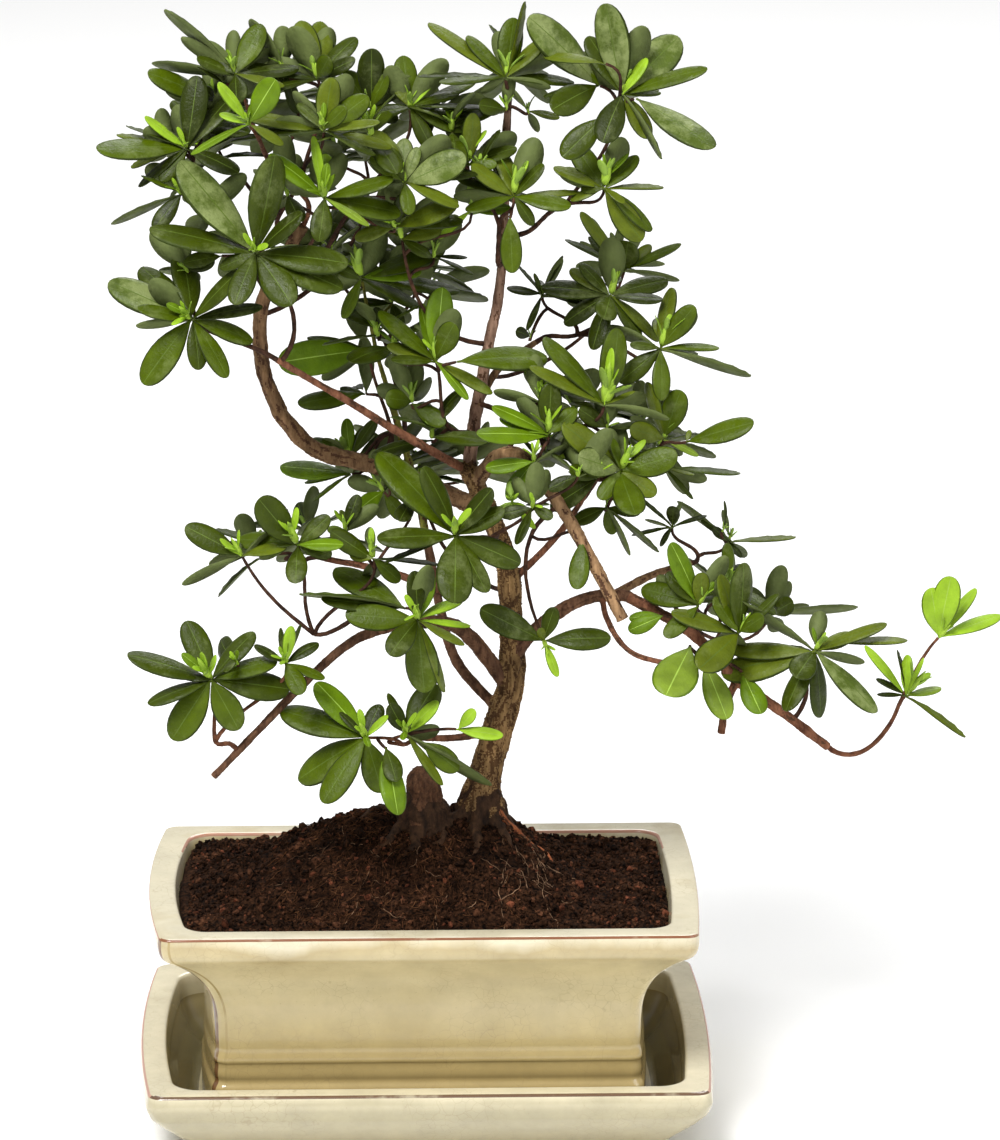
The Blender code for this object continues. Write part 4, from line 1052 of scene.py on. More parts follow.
# How a rosette looks: its leaves' tints, the pitch of its lowest and topmost leaves in degrees,
# their width against their length, the way it leans and how its heart stands.
Look = namedtuple("Look", "tints low top width lean heart")
LOOKS = {
    "deep": Look(("deep", "deep", "dark"), 98, 34, 0.45, NONE, 0.8),
    "dark": Look(("deep", "dark", "dark", "green"), 98, 34, 0.45, NONE, 1),
    "wax": Look(("deep", "dark", "dark", "green", "olive"), 102, 36, 0.45, NONE, 1),
    "green": Look(("dark", "green", "green", "olive"), 105, 36, 0.44, NONE, 1),
    "bright": Look(("green", "green", "bright", "olive"), 110, 36, 0.42, NONE, 1.4),
    "fresh": Look(("dark", "dark", "green", "olive"), 98, 34, 0.45, NONE, 1.4),
    "tall": Look(("dark", "green", "olive"), 95, 34, 0.42, NONE, 1.7),
    "narrow": Look(("deep", "deep", "dark"), 100, 30, 0.24, NONE, 0.6),
    "hang": Look(("dark", "green", "olive"), 165, 125, 0.42, NONE, 0),
    "star": Look(("green", "dark", "green"), 100, 70, 0.42, (0, -2.4, -0.8), 0.9),
    "left": Look(("deep", "dark", "green"), 65, 15, 0.42, (-1.8, -0.3, -0.4), 0),
    "right": Look(("dark", "green", "olive"), 60, 15, 0.40, (1.8, -0.3, -0.3), 0),
    "pale": Look(("pale", "bright", "pale"), 150, 110, 0.5, NONE, 0),
    "lime": Look(("young", "bright", "young"), 66, 20, 0.46, NONE, 1),
    "lime_right": Look(("young", "young"), 50, 20, 0.4, (2.5, 0, -0.6), 0),
    "sparse": Look(("deep", "young", "dark"), 105, 40, 0.22, NONE, 1.5),
}
# Masses whose fork shows: its place, and the stem's heading there.
FORKS = {"right_tip": ((178, -12, 161), (0.3, 0, 1)),
         "low_left_top": ((-42, -28, 195), (-1, 0, 0.15)),
         "low_left_outer": ((-79, -42, 158), (-0.5, 0, 1)),
         "leader_right": ((52, 0, 352), (1, 0, 0.35))}
# Masses whose twigs aren't brown: the number of their bark in TWIG_LOOKS.
TWIG_BARKS = {"inner_crown": 1, "right_tip": 2, "low_front": 2, "crown_top_left": 2,
              "low_left_outer": 2}


def whorl_leaves(hub, axis, count, size, rng, look, tints):
    """Leaves that climb the tip by the golden angle, from long and level to short and steep."""
    side = axis.orthogonal().normalized()
    other = axis.cross(side)
    first_turn = rng.uniform(0, math.tau)
    low, top = math.radians(look.low), math.radians(look.top)
    for i in range(count):
        share = i / max(1, count - 1)
        turn = first_turn + i * GOLDEN_ANGLE + rng.uniform(-TURN_SWAY, TURN_SWAY)
        pitch = low + (top - low) * share**1.3 + rng.uniform(-PITCH_SWAY, PITCH_SWAY)
        length = LEAF_LENGTH * size * (1 - TOP_SHORTER * share**2)
        length *= rng.uniform(1 - LENGTH_SWAY, 1 + LENGTH_SWAY)
        outward = side * math.cos(turn) + other * math.sin(turn)
        direction = axis * math.cos(pitch) + outward * math.sin(pitch)
        normal = (axis - direction * axis.dot(direction)).normalized()
        normal.rotate(Quaternion(direction, rng.uniform(-LEAF_ROLL, LEAF_ROLL)))
        yield Leaf(hub + axis * (WHORL_RISE * size * share), direction, normal, length,
                   length * look.width * rng.uniform(1 - WIDTH_SWAY, 1 + WIDTH_SWAY),
                   *drawn(rng, WHORL_SHAPE), rng.choice(tints))


def in_photo(x, y, depth):
    """The point at this depth that shows at a pixel of the photograph."""
    eye = VIEW_TARGET + TO_VIEWER * VIEW_DISTANCE
    across, up = (x - PHOTO_WIDTH / 2) * PIXEL, (PHOTO_HEIGHT / 2 - y) * PIXEL
    ray = PICTURE_RIGHT * across + PICTURE_UP * up - TO_VIEWER * VIEW_DISTANCE
    return eye + ray * ((depth - eye.y) / ray.y)


# A leaf that shows wider than FULL_WIDTH of its shown length comes towards the viewer, at most by
# NEAREST. One that shows narrower than BROAD_FROM of it is a slender leaf and not a turned one.
FULL_WIDTH, NEAREST, BROAD_FROM = 0.48, 1.2, 0.22
BROAD, SLENDER = 0.4, 0.26  # the least width of a leaf against its length


def seen_leaves(hub, axis, foot, leaves, rng, shade):
    """Leaves by the tips and widths that show from the front. Chance fills in what doesn't."""
    for number, (tip_x, tip_y, width, *tint) in enumerate(leaves):
        across, up = (tip_x - foot[0]) * PIXEL, (foot[1] - tip_y) * PIXEL
        turn, length = math.atan2(up, across), math.hypot(across, up)
        shown = abs(width) * PIXEL
        nearer = math.sqrt(max(0, (shown / (FULL_WIDTH * length))**2 - 1))
        depth = min(NEAREST, nearer) if nearer > 0.35 else rng.uniform(-0.5, 0.5)
        direction = PICTURE_RIGHT * math.cos(turn) + PICTURE_UP * math.sin(turn) + TO_VIEWER * depth
        whole = length * direction.length
        direction.normalize()
        broad = max(shown * 1.02, whole * (BROAD if shown > BROAD_FROM * length else SLENDER))
        edge = direction.cross(TO_VIEWER).normalized()
        if edge.z < -0.3 or (edge.z < 0.3 and rng.random() < 0.5):
            edge = -edge
        viewer = (TO_VIEWER - direction * TO_VIEWER.dot(direction)).normalized()
        share = shown / broad
        normal = viewer * math.copysign(share, width) + edge * math.sqrt(1 - share**2)
        root = hub + axis * rng.uniform(0, 1) + TO_VIEWER * (0.5 * number)
        yield Leaf(root, direction, normal, whole, broad, *drawn(rng, SEEN_SHAPE),
                   tint[0] if tint else rng.choice(shade))


HEART = Look(("young", "bright", "young"), 40, 12, 0.31, NONE, 0)


def shoot_heart(hub, axis, size, rng, leaf_skins, bud_skin):
    """Young leaves and one to three slim buds at a rosette's heart."""
    base = hub + axis * WHORL_RISE * 0.7 * min(size, 1)
    count = rng.randint(3, 5)
    for leaf in whorl_leaves(base, axis, count, HEART_SIZE * size, rng, HEART, HEART.tints):
        leaf_skin(leaf_skins, leaf._replace(rise=HEART_RISE, drop=HEART_DROP))
    for i in range(rng.choice((1, 1, 2, 3))):
        tilt = (axis + random_vector(rng, 0.22 * (i > 0) + 0.06)).normalized()
        length = rng.uniform(*BUD_LENGTH) * size * (0.7 if i else 1)
        start = base - axis * 2
        line = [start + tilt * (length * share) for share in BUD_SHARES]
        tube(bud_skin, line, [radius * min(size, 1.3) for radius in BUD_RADII] + [BUD_TIP], 8)


def forked_stem(fork, heading, stem):
    """A mass's stem, led to another fork."""
    fork, heading = Vector(fork), Vector(heading).normalized()
    leaving = (stem[3] - stem[2]).normalized()
    return [*stem[:2], *arc_line(stem[2], leaving, fork, heading, TWIG_STEPS)]


def forked_twig(fork, heading, hub, axis):
    """A twig from such a fork to its hub."""
    fork, heading = Vector(fork), Vector(heading).normalized()
    leaving = (heading * 0.3 + (hub - fork).normalized()).normalized()
    return arc_line(fork, leaving, hub, axis, TWIG_STEPS)


def led_to(line, hub):
    """The line, bent more and more towards its end so that it reaches the hub."""
    shift = hub - line[-1]
    return [p + shift * (i / (len(line) - 1)) ** 2 for i, p in enumerate(line)]


def finer_shoot(hub, axis, lines):
    """A fine twig to the hub from the twig of the mass that passes nearest."""
    starts = [along(line, [1] * len(line), share) for line in lines for share in SHOOT_SHARES]
    point, heading, _ = min(starts, key=lambda start: (start[0] - hub).length)
    leaving = (heading * 0.6 + (hub - point).normalized()).normalized()
    return arc_line(point, leaving, hub, axis, SHOOT_STEPS)


RULED = (None, None, None, 0.9, 9, "deep")  # a rosette where the rule puts it
# Where leaves show one by one, the rule's own are smaller, more and turned back behind them.
BEHIND_SIZE, BEHIND_COUNT, BEHIND_LOW, BEHIND_TOP = 0.72, 1.6, 54, 16


def grow_region(region, limbs, materials, twig_barks, bud_green):
    """The leaves, the twigs and the buds of a region's masses, as one piece each."""
    leaves, wood, buds = Skin(), Skin(), Skin()
    fork_radius = (STEM_RADIUS + TWIG_RADIUS) / 2
    names = list(MASSES)
    for name in REGIONS[region]:
        mass = MASSES[name]
        rng = random.Random(FIRST_SEED + names.index(name))
        for attempt in range(TRIES.get(name, 1)):
            stem, whorls = grow_twigs(mass, *limbs[mass.limb], BEND * attempt, rng)
        twigs = []
        bark = TWIG_BARKS.get(name, 0)
        if name in FORKS:
            stem = forked_stem(*FORKS[name], stem)
        if stem:
            radii = taper(STEM_RADIUS, fork_radius, len(stem))
            tube(wood, stem, radii, TWIG_SIDES, bark, rng, TWIG_ROUGH)
        first = fork_radius if stem else STEM_RADIUS
        for number, spot in enumerate(ROSETTES[name]):
            own = number < len(whorls)
            x, y, depth, size, count, kind, *shown = spot or RULED
            look = LOOKS[kind]
            hub = in_photo(x, y, depth) if spot else whorls[number].hub
            axis = (twig_axis(hub, mass.tilt, rng) + Vector(look.lean)).normalized()
            if own and name in FORKS:
                line = forked_twig(*FORKS[name], hub, axis)
            elif own:
                line = led_to(whorls[number].twig, hub)
            else:
                line = finer_shoot(hub, axis, twigs)
            if own:
                twigs.append(line)
            radii = taper(first if own else SHOOT_RADIUS, TWIG_RADIUS * 0.9, len(line))
            tube(wood, line, radii, TWIG_SIDES, bark if own else 0, rng, TWIG_ROUGH)
            shade = [rng.choice(look.tints) for _ in range(3)]
            way = axis
            if shown:
                for leaf in seen_leaves(hub, axis, (x, y), shown[0], rng, shade):
                    leaf_skin(leaves, leaf)
                size *= BEHIND_SIZE
                count = round(count * BEHIND_COUNT)
                look = look._replace(low=BEHIND_LOW, top=BEHIND_TOP)
                way = (axis * 0.3 + BACKWARD).normalized()
            for leaf in whorl_leaves(hub, way, count, size, rng, look, shade):
                leaf_skin(leaves, leaf)
            if look.heart:
                shoot_heart(hub, axis, look.heart * min(size, 1), rng, leaves, buds)
    masses = REGIONS[region]
    leaves.piece("leaves_" + region, materials, "leaves", masses)
    wood.piece("twigs_" + region, twig_barks, "bark", masses)
    buds.piece("buds_" + region, [bud_green], "leaves", masses)


# ---------------------------------------------------------------- trunk and boughs

VOXEL = 0.5
LIMB_SIDES = 20
OLD_BARK = ("trunk", "cut_stump")
FOOT_DEPTH, FOOT_WIDER = 14, 1.15  # how far old stems reach into the ground, and how much wider
STUMP_RADIUS = 6.8
STUMP_CAP = (6.6, 6.2, 5.4, 4.1, 1.8)  # radii of its worn, rounded top


def limb_lines():
    lines = {}
    for name, limb in LIMBS.items():
        line = smooth_line(limb.points, LINE_STEPS)
        lines[name] = (line, limb_radii(limb, line, limb.parent is None))
    return lines


# Surface roots: the stem's x and y, the heading in degrees, the reach and the radius.
ROOTS = ((21, 0, -100, 26, 3.4), (21, 0, -135, 30, 3.0), (21, 0, -62, 24, 2.8), (21, 0, -38, 34, 1.7),
         (21, 0, -20, 22, 2.2), (21, 0, 40, 24, 2.6), (21, 0, 110, 26, 2.8), (-1, -5, -110, 26, 2.8),
         (-1, -5, 178, 34, 2.6), (-1, -5, -150, 30, 2.4), (-1, -5, 120, 26, 2.6))
ORANGE_ROOT = 3
ROOT_STEPS, ROOT_SWAY = 12, 0.14
ROOT_START = 3  # how far from the stem's axis a root begins
ROOT_ARCH = 9  # how high it leaves the trunk over the ground
STUMP_ARCH = 0.6  # the same for a root of the stump, as a share
ROOT_THINNING = 0.72


def root_lines():
    """Roots that run out of the stems' feet and dive into the mound."""
    rng = random.Random(21)
    lines = []
    for x, y, degrees, reach, radius in ROOTS:
        line, radii = [], []
        heading = math.radians(degrees)
        for step in range(ROOT_STEPS + 1):
            share = step / ROOT_STEPS
            heading += rng.uniform(-ROOT_SWAY, ROOT_SWAY)
            out = ROOT_START + reach * share
            px, py = x + math.cos(heading) * out, y + math.sin(heading) * out
            lift = max(0, 1 - share * 3.2) * (1 if x > 0 else STUMP_ARCH)
            over = radius * (0.15 - 0.9 * share)
            line.append(Vector((px, py, soil_height(px, py) + over + ROOT_ARCH * lift**2)))
            radii.append(radius * (1 - ROOT_THINNING * share))
        lines.append((line, radii))
    return lines


def fused(obj):
    """The object's mesh as one closed skin of small quads."""
    modifier = obj.modifiers.new("fuse", "REMESH")
    modifier.mode = "VOXEL"
    modifier.voxel_size = VOXEL * MM
    graph = bpy.context.evaluated_depsgraph_get()
    mesh = bpy.data.meshes.new_from_object(obj.evaluated_get(graph))
    bpy.data.objects.remove(obj)
    return mesh


def smoothed(points, edges, rounds):
    """Each point moved halfway to the mean of its neighbours, and again each round."""
    count = np.bincount(edges.ravel(), minlength=len(points))[:, None]
    for _ in range(rounds):
        total = np.zeros_like(points)
        np.add.at(total, edges[:, 0], points[edges[:, 1]])
        np.add.at(total, edges[:, 1], points[edges[:, 0]])
        points = points + (total / np.maximum(count, 1) - points) / 2
    return points


def bark_lines(lines):
    """The limbs as the bark follows them, with old stems set into the ground, and the roots."""
    lines = dict(lines)
    for name in OLD_BARK:
        line, radii = lines[name]
        lines[name] = ([line[0] - UP * FOOT_DEPTH, *line], [radii[0] * FOOT_WIDER, *radii])
    radii = lines["cut_stump"][1]
    body = len(radii) - len(STUMP_CAP)
    radii[:] = [*(max(radius, STUMP_RADIUS) for radius in radii[:body]), *STUMP_CAP]
    for number, root in enumerate(root_lines()):
        lines["root_orange" if number == ORANGE_ROOT else f"root_{number}"] = root
    return lines


BARK_ROUND, BARK_ALONG = 0.62, 0.17  # fineness of the bark's noise round a limb and along it
# Columns of the rows that describe the limbs' rings.
LIMB, RUN, PLACE, HEADING, SIDE, OTHER, RADIUS = (
    0, 1, slice(2, 5), slice(5, 8), slice(8, 11), slice(11, 14), 14)


def joined_limbs(lines):
    """All limbs' tubes as one object, and the rows of their rings."""
    skin, rows = Skin(), []
    for number, (line, radii) in enumerate(lines.values()):
        tube(skin, line, radii, LIMB_SIDES)
        run = 0
        for i, (point, heading, side, other) in enumerate(frames(line)):
            run += (point - line[i - 1]).length if i else 0
            rows.append((number, run, *point, *heading, *side, *other, radii[i]))
    mesh = bpy.data.meshes.new("limbs")
    mesh.from_pydata([v * MM for v in skin.vertices], [], skin.faces)
    return placed("limbs", mesh), np.array(rows)


def nearest_rings(points, rows):
    """For each point the row of the ring whose surface is nearest."""
    nearest = np.zeros(len(points), int)
    for first in range(0, len(points), 4000):
        part = slice(first, first + 4000)
        gap = np.linalg.norm(points[part, None] - rows[None, :, PLACE], axis=2)
        nearest[part] = np.argmin(gap - rows[None, :, RADIUS], axis=1)
    return rows[nearest]


def furrows(points, out, held, old):
    """How high the bark stands at each point, and whether the point lies in a groove."""
    across = np.sum(out * held[:, SIDE], axis=1)
    upward = np.sum(out * held[:, OTHER], axis=1)
    run = held[:, RUN] + np.sum((points - held[:, PLACE]) * held[:, HEADING], axis=1)
    height = np.zeros(len(points))
    groove = np.zeros(len(points), bool)
    for i, point in enumerate(points):
        limb, radius = held[i, LIMB], held[i, RADIUS]
        girth = radius * BARK_ROUND
        here = Vector((across[i] * girth, upward[i] * girth, run[i] * BARK_ALONG))
        here += Vector((limb * 7.3, 0, 0))
        fine = noise.noise(Vector(point) * 1.3)
        if old[i]:
            gaps, centres = noise.voronoi(here * 0.5 + Vector((0.5, 0.5, 0.2)) * fine)
            plate = min(1.0, (gaps[1] - gaps[0]) * 2.2)
            lift = noise.cell(centres[0] * 9.7)
            height[i] = 0.6 * plate + 0.45 * lift + 0.25 * fine - 0.6
            groove[i] = plate < 0.3 or fractal(here * 1.4, 2) > 0.55
        else:
            flakes = fractal(here, 4)
            knot = noise.noise(Vector((run[i] * 0.22, limb * 3.1, 0)))
            height[i] = radius * (0.11 * flakes + 0.07 * fine + 0.16 * max(0, knot))
            groove[i] = flakes < -0.34
    return height, groove


def build_bark(lines, materials):
    """Trunk, boughs and roots fused into one skin: plated bark on old wood, flaky on the rest."""
    lines = bark_lines(lines)
    names = list(lines)
    limbs, rows = joined_limbs(lines)
    mesh = fused(limbs)
    points = np.zeros(len(mesh.vertices) * 3)
    mesh.vertices.foreach_get("co", points)
    points = points.reshape(-1, 3) / MM
    edges = np.zeros(len(mesh.edges) * 2, int)
    mesh.edges.foreach_get("vertices", edges)
    points = smoothed(points, edges.reshape(-1, 2), 2)
    held = nearest_rings(points, rows)
    out = points - held[:, PLACE]
    out -= held[:, HEADING] * np.sum(out * held[:, HEADING], axis=1)[:, None]
    out /= np.maximum(np.linalg.norm(out, axis=1), 0.01)[:, None]
    old = np.isin(held[:, LIMB], [names.index(n) for n in OLD_BARK])
    height, groove = furrows(points, out, held, old)
    points = points + out * height[:, None]
    mesh.vertices.foreach_set("co", (points * MM).ravel())
    limb_of = held[:, LIMB].astype(int)
    slots = [limb_slot(names[limb_of[p.vertices[0]]], p.center / MM, p.normal,
                       groove[p.vertices[0]]) for p in mesh.polygons]
    piece("trunk_and_boughs", mesh, materials, slots, list(LIMBS))


BARK_LOOKS = {
    "bark_trunk": ((0.080, 0.040, 0.014), (0.34, 0.205, 0.085)),
    "bark_trunk_groove": ((0.030, 0.013, 0.005), (0.13, 0.067, 0.026)),
    "bark_bough": ((0.068, 0.034, 0.015), (0.26, 0.150, 0.074)),
    "bark_dark": ((0.045, 0.019, 0.010), (0.19, 0.095, 0.052)),
    "bark_red": ((0.070, 0.024, 0.012), (0.27, 0.115, 0.062)),
    "bark_leader": ((0.09, 0.044, 0.028), (0.34, 0.205, 0.140)),
    "bark_pale": ((0.11, 0.055, 0.025), (0.38, 0.23, 0.115)),
    "bark_green": ((0.07, 0.075, 0.012), (0.24, 0.23, 0.04)),
    "bark_stump": ((0.040, 0.016, 0.008), (0.16, 0.075, 0.036)),
    "bark_foot": ((0.010, 0.005, 0.003), (0.070, 0.034, 0.016)),
    "bark_groove": ((0.030, 0.013, 0.007), (0.12, 0.058, 0.030)),
    "cut_wood": ((0.22, 0.13, 0.07), (0.50, 0.35, 0.22)),
    "root_orange": ((0.16, 0.035, 0.012), (0.42, 0.15, 0.06)),
}
BARKS = tuple(BARK_LOOKS)
LIMB_BARK = {
    "trunk": "bark_trunk", "cut_stump": "bark_stump", "leader": "bark_leader",
    "inner_left_bough": "bark_dark", "low_left_bough": "bark_dark", "right_bough": "bark_dark",
    "right_bough_fall": "bark_red", "thin_left_bough": "bark_red", "loop_twig": "bark_red",
    "crossing_bough": "bark_red", "cut_bough": "bark_pale", "right_stub": "bark_red",
    "low_back_bough": "bark_red", "low_front_bough": "bark_red", "root_orange": "root_orange",
}
CUT_ENDS = ("cut_bough", "right_stub", "low_left_bough", "cut_stump")


def limb_slot(name, centre, normal, groove):
    """The bark of a face: cut ends first, then dark feet, grooves and each limb's own bark."""
    if name in CUT_ENDS:
        end = Vector(LIMBS[name].points[-1])
        heading = (end - Vector(LIMBS[name].points[-2])).normalized()
        if (centre - end).dot(heading) > -0.6 and normal.dot(heading) > 0.7:
            return BARKS.index("bark_stump" if name == "cut_stump" else "cut_wood")
    if name.startswith("root_") and name != "root_orange":
        return BARKS.index("bark_foot")
    if name in OLD_BARK and centre.z < GROUND_Z + 4 + 14 * noise.noise(centre * 0.22):
        return BARKS.index("bark_foot")
    if groove:
        return BARKS.index("bark_trunk_groove" if name == "trunk" else "bark_groove")
    if name == "inner_left_bough" and centre.z > 215:
        return BARKS.index("bark_green")
    return BARKS.index(LIMB_BARK.get(name, "bark_bough"))


# ---------------------------------------------------------------- pot and tray

CORNER_STEPS, END_STEPS, SIDE_STEPS = 7, 14, 24
FLARE_STEPS = 14
ROUND_STEPS = 4
# Numbers of the glazes in each vessel's list.
PLAIN, EDGE, THIN_EDGE, CORNER_LINE, CORNER_SHADE, INSIDE = 0, 1, 2, 3, 4, 3


def level_ring(z, half_length, half_depth, corner, bow):
    """One level outline: a rectangle with round corners whose short ends bow outward."""
    points = []
    for turn, (sx, sy) in enumerate(((1, 1), (-1, 1), (-1, -1), (1, -1))):
        centre = Vector((sx * (half_length - corner), sy * (half_depth - corner), z))
        for step in range(CORNER_STEPS + 1):
            angle = math.pi / 2 * (turn + step / CORNER_STEPS)
            points.append(centre + corner * Vector((math.cos(angle), math.sin(angle), 0)))
        last = points[-1]
        on_long_side = turn % 2 == 0
        following = Vector((-last.x, last.y, z)) if on_long_side else Vector((last.x, -last.y, z))
        steps = SIDE_STEPS if on_long_side else END_STEPS
        points += [last.lerp(following, step / steps) for step in range(1, steps)]
    for point in points:
        if abs(point.x) > half_length - corner - 1:
            out = bow[0] if point.x < 0 else bow[1]
            point.x += math.copysign(out * (1 - (point.y / half_depth) ** 2), point.x)
    return points


def rounded(profile, radius):
    """The profile with its corners turned into short curves. A corner may state its own radius."""
    points = [Vector((*p[:2], 0)) for p in profile]
    curve = [points[0]]
    for i in range(1, len(points) - 1):
        before, corner, after = points[i - 1:i + 2]
        own = profile[i][2] if len(profile[i]) > 2 else radius
        cut_before = min(own, (corner - before).length * 0.48)
        cut_after = min(own, (after - corner).length * 0.48)
        first = corner + (before - corner).normalized() * cut_before
        last = corner + (after - corner).normalized() * cut_after
        for step in range(ROUND_STEPS + 1):
            t = step / ROUND_STEPS
            curve.append(first * (1 - t)**2 + corner * (2 * t * (1 - t)) + last * t * t)
    return [*curve, points[-1]]


def loft(skin, rings, slot_of):
    """A closed skin from ring to ring. slot_of says the material of each face."""
    count = len(rings[0])
    vertices = [p for ring in rings for p in ring]
    faces, slots = [], []
    for i in range(len(rings) - 1):
        for k in range(count):
            j = (k + 1) % count
            faces.append((i * count + k, i * count + j, (i + 1) * count + j, (i + 1) * count + k))
            middle = (rings[i][k] + rings[i + 1][j]) / 2
            slots.append(slot_of(middle, i, k))
    faces.append(tuple(range(count - 1, -1, -1)))
    faces.append(tuple((len(rings) - 1) * count + k for k in range(count)))
    slots += [0, 0]
    skin.add(vertices, faces, slots)


def vessel_rings(profile, base_z, length, depth, rim, corners, bow):
    """The wall as level outlines, and the number of the one where the rim's edge begins."""
    height = max(p.x for p in profile)
    edge = next(i for i, p in enumerate(profile) if p.x > height - 1.2)
    rings = []
    for i, p in enumerate(profile):
        corner = corners[1] if i > edge and p.y >= rim - 2 else corners[0]
        rings.append(level_ring(base_z + p.x, length / 2 - p.y, depth / 2 - p.y, corner, bow))
    return rings, edge


def rim_slot(middle, ring, edge, depth):
    """The worn edge of a rim: broad in front, thin at the ends and glazed over at the back."""
    front = middle.y < 3 - depth / 2
    if edge <= ring < edge + (3 if front else 2) and middle.y < depth / 2 - 3:
        return EDGE if front else THIN_EDGE
    return PLAIN


def build_pot(materials):
    lip_z = POT_HEIGHT - LIP_HEIGHT
    foot = POT_FLARE - FOOT_STEP
    wall = [(0, POT_FLARE + 1), (1, foot), (FOOT_HEIGHT, foot)]
    wall += [(z, POT_FLARE + inset, 2) for z, inset in FOOT_BANDS]
    for step in range(FLARE_STEPS):
        share = step / FLARE_STEPS
        wall.append((POT_WAIST + share * (lip_z - POT_WAIST), POT_FLARE * (1 - share**3), 3))
    wall += [(lip_z, LIP_TUCK, 6), (lip_z + 5, -LIP_STEP, 6), (POT_HEIGHT, 0, 0.9),
             (POT_HEIGHT, POT_RIM), *POT_INSIDE]
    profile = rounded(wall, 1.1)
    rings, edge = vessel_rings(profile, POT_BASE_Z, POT_LENGTH, POT_DEPTH, POT_RIM,
                               (POT_CORNER, POT_INNER_CORNER), POT_BOW)

    def slot_of(middle, i, k):
        z, inset, _ = profile[i]
        on_inner_edge = z > POT_HEIGHT - 0.9 and abs(inset - POT_RIM) < 0.7
        column = k - 2 * CORNER_STEPS - SIDE_STEPS - END_STEPS  # steps round the left front corner
        worn = rim_slot(middle, i, edge, POT_DEPTH)
        if worn:
            return worn
        if on_inner_edge and middle.y > 40:
            return THIN_EDGE
        if 2 < z and i < edge and 0 <= column <= 2:
            return CORNER_LINE
        if 2 < z and i < edge and column == CORNER_STEPS - 1:
            return CORNER_SHADE
        return PLAIN

    skin = Skin()
    loft(skin, rings, slot_of)
    skin.piece("glazed_pot", materials, "glaze", ["pot"])


def build_tray(materials):
    profile = rounded(TRAY_WALL, 1.4)
    rings, edge = vessel_rings(profile, 0, TRAY_LENGTH, TRAY_DEPTH, TRAY_RIM,
                               (TRAY_CORNER, TRAY_INNER_CORNER), TRAY_BOW)

    def slot_of(middle, i, k):
        inside = i > edge and profile[i].x < TRAY_HEIGHT - 3
        return rim_slot(middle, i, edge, TRAY_DEPTH) or (INSIDE if inside else PLAIN)

    skin = Skin()
    loft(skin, rings, slot_of)
    skin.piece("glazed_tray", materials, "glaze", ["drip_tray"])


# ---------------------------------------------------------------- soil

SOIL_AROUND, SOIL_RINGS, MOUND_RINGS = 260, 64, 8
SOIL_SKIRT = 12  # how far the soil's edge goes down along the wall
SOIL_HALF = (89, 58)
SOIL_LEVEL = 87.3  # height of the level ground
WALL_DIP = 3.0  # how much lower it lies against the wall
BACK_RISE = 1.2  # how much higher it lies at the back
SUMMIT_DROP = 2.5  # how far the mound's top lies under the stems' feet
CRUMBS, FIBRES, PALE_FIBRES = 8200, 900, 26
CRUMB_SIZES, CLOD_SIZE, CLOD_SHARE = (0.35, 1.0), 2.2, 0.08  # clods are crumbs that many times as big
CRUMB_STRETCH = ((0.7, 1.5), (0.7, 1.3), (0.5, 1))
CRUMB_MIX, FIBRE_MIX = (10, 5, 1), (5, 8, 1)  # how often each material comes
FIBRE_STEPS, FIBRE_SWAY = 7, 0.55
FIBRE_RADII, FIBRE_TIP = (0.06, 0.15), 0.05
PALE_PATCH = ((26, 44), (-34, -6))  # x and y where the pale fibres start
CORE = (Vector((-12, 1, 0)), Vector((25, -1, 0)))  # what the mound slopes away from
SLOPE_LENGTHS = (40, 50, 70, 54)  # right, back, left and front


def soil_height(x, y):
    """Height of the ground: level near the walls, and a root mound that is steep on its right."""
    here = Vector((x, y, 0))
    run = CORE[1] - CORE[0]
    share = min(1, max(0, (here - CORE[0]).dot(run) / run.length_squared))
    away = here - (CORE[0] + run * share)
    angle = math.atan2(away.y, away.x)
    c, d = math.cos(angle), math.sin(angle)
    reach = (SLOPE_LENGTHS[0 if c > 0 else 2] * c * c + SLOPE_LENGTHS[1 if d > 0 else 3] * d * d)
    part = min(1, away.length / reach)
    climb = 1 - part ** (1.3 - 0.3 * c)
    climb *= 1 - 0.12 * part
    edge = max(abs(x) / SOIL_HALF[0], abs(y) / SOIL_HALF[1])
    level = SOIL_LEVEL - WALL_DIP * max(0, edge - 0.9) / 0.1 + BACK_RISE * (y > 0) * min(1, y / 40)
    rough = 1.3 * fractal(here * 0.09, 2) + 1.2 * fractal(here * 0.32 + UP * 9, 3)
    rough += 0.9 * abs(fractal(here * 0.8 + UP * 4, 2))
    return level + (GROUND_Z - level - SUMMIT_DROP) * climb + rough


def resampled(ring, count):
    """Points at even steps round a closed outline, from the one that looks along +X."""
    start = min(range(len(ring)), key=lambda i: abs(math.atan2(ring[i].y, ring[i].x)))
    ring = [*ring[start:], *ring[:start + 1]]
    lengths = [(b - a).length for a, b in zip(ring, ring[1:])]
    whole = sum(lengths)
    points, i, passed = [], 0, 0.0
    for k in range(count):
        goal = whole * k / count
        while passed + lengths[i] < goal:
            passed += lengths[i]
            i += 1
        points.append(ring[i].lerp(ring[i + 1], (goal - passed) / lengths[i]))
    return points


def ground_ring(points, goals, share):
    """The points, moved by a share of their way to the goals, at the ground's height."""
    ring = [point.lerp(goal, share) for point, goal in zip(points, goals)]
    for place in ring:
        place.z = soil_height(place.x, place.y)
    return ring


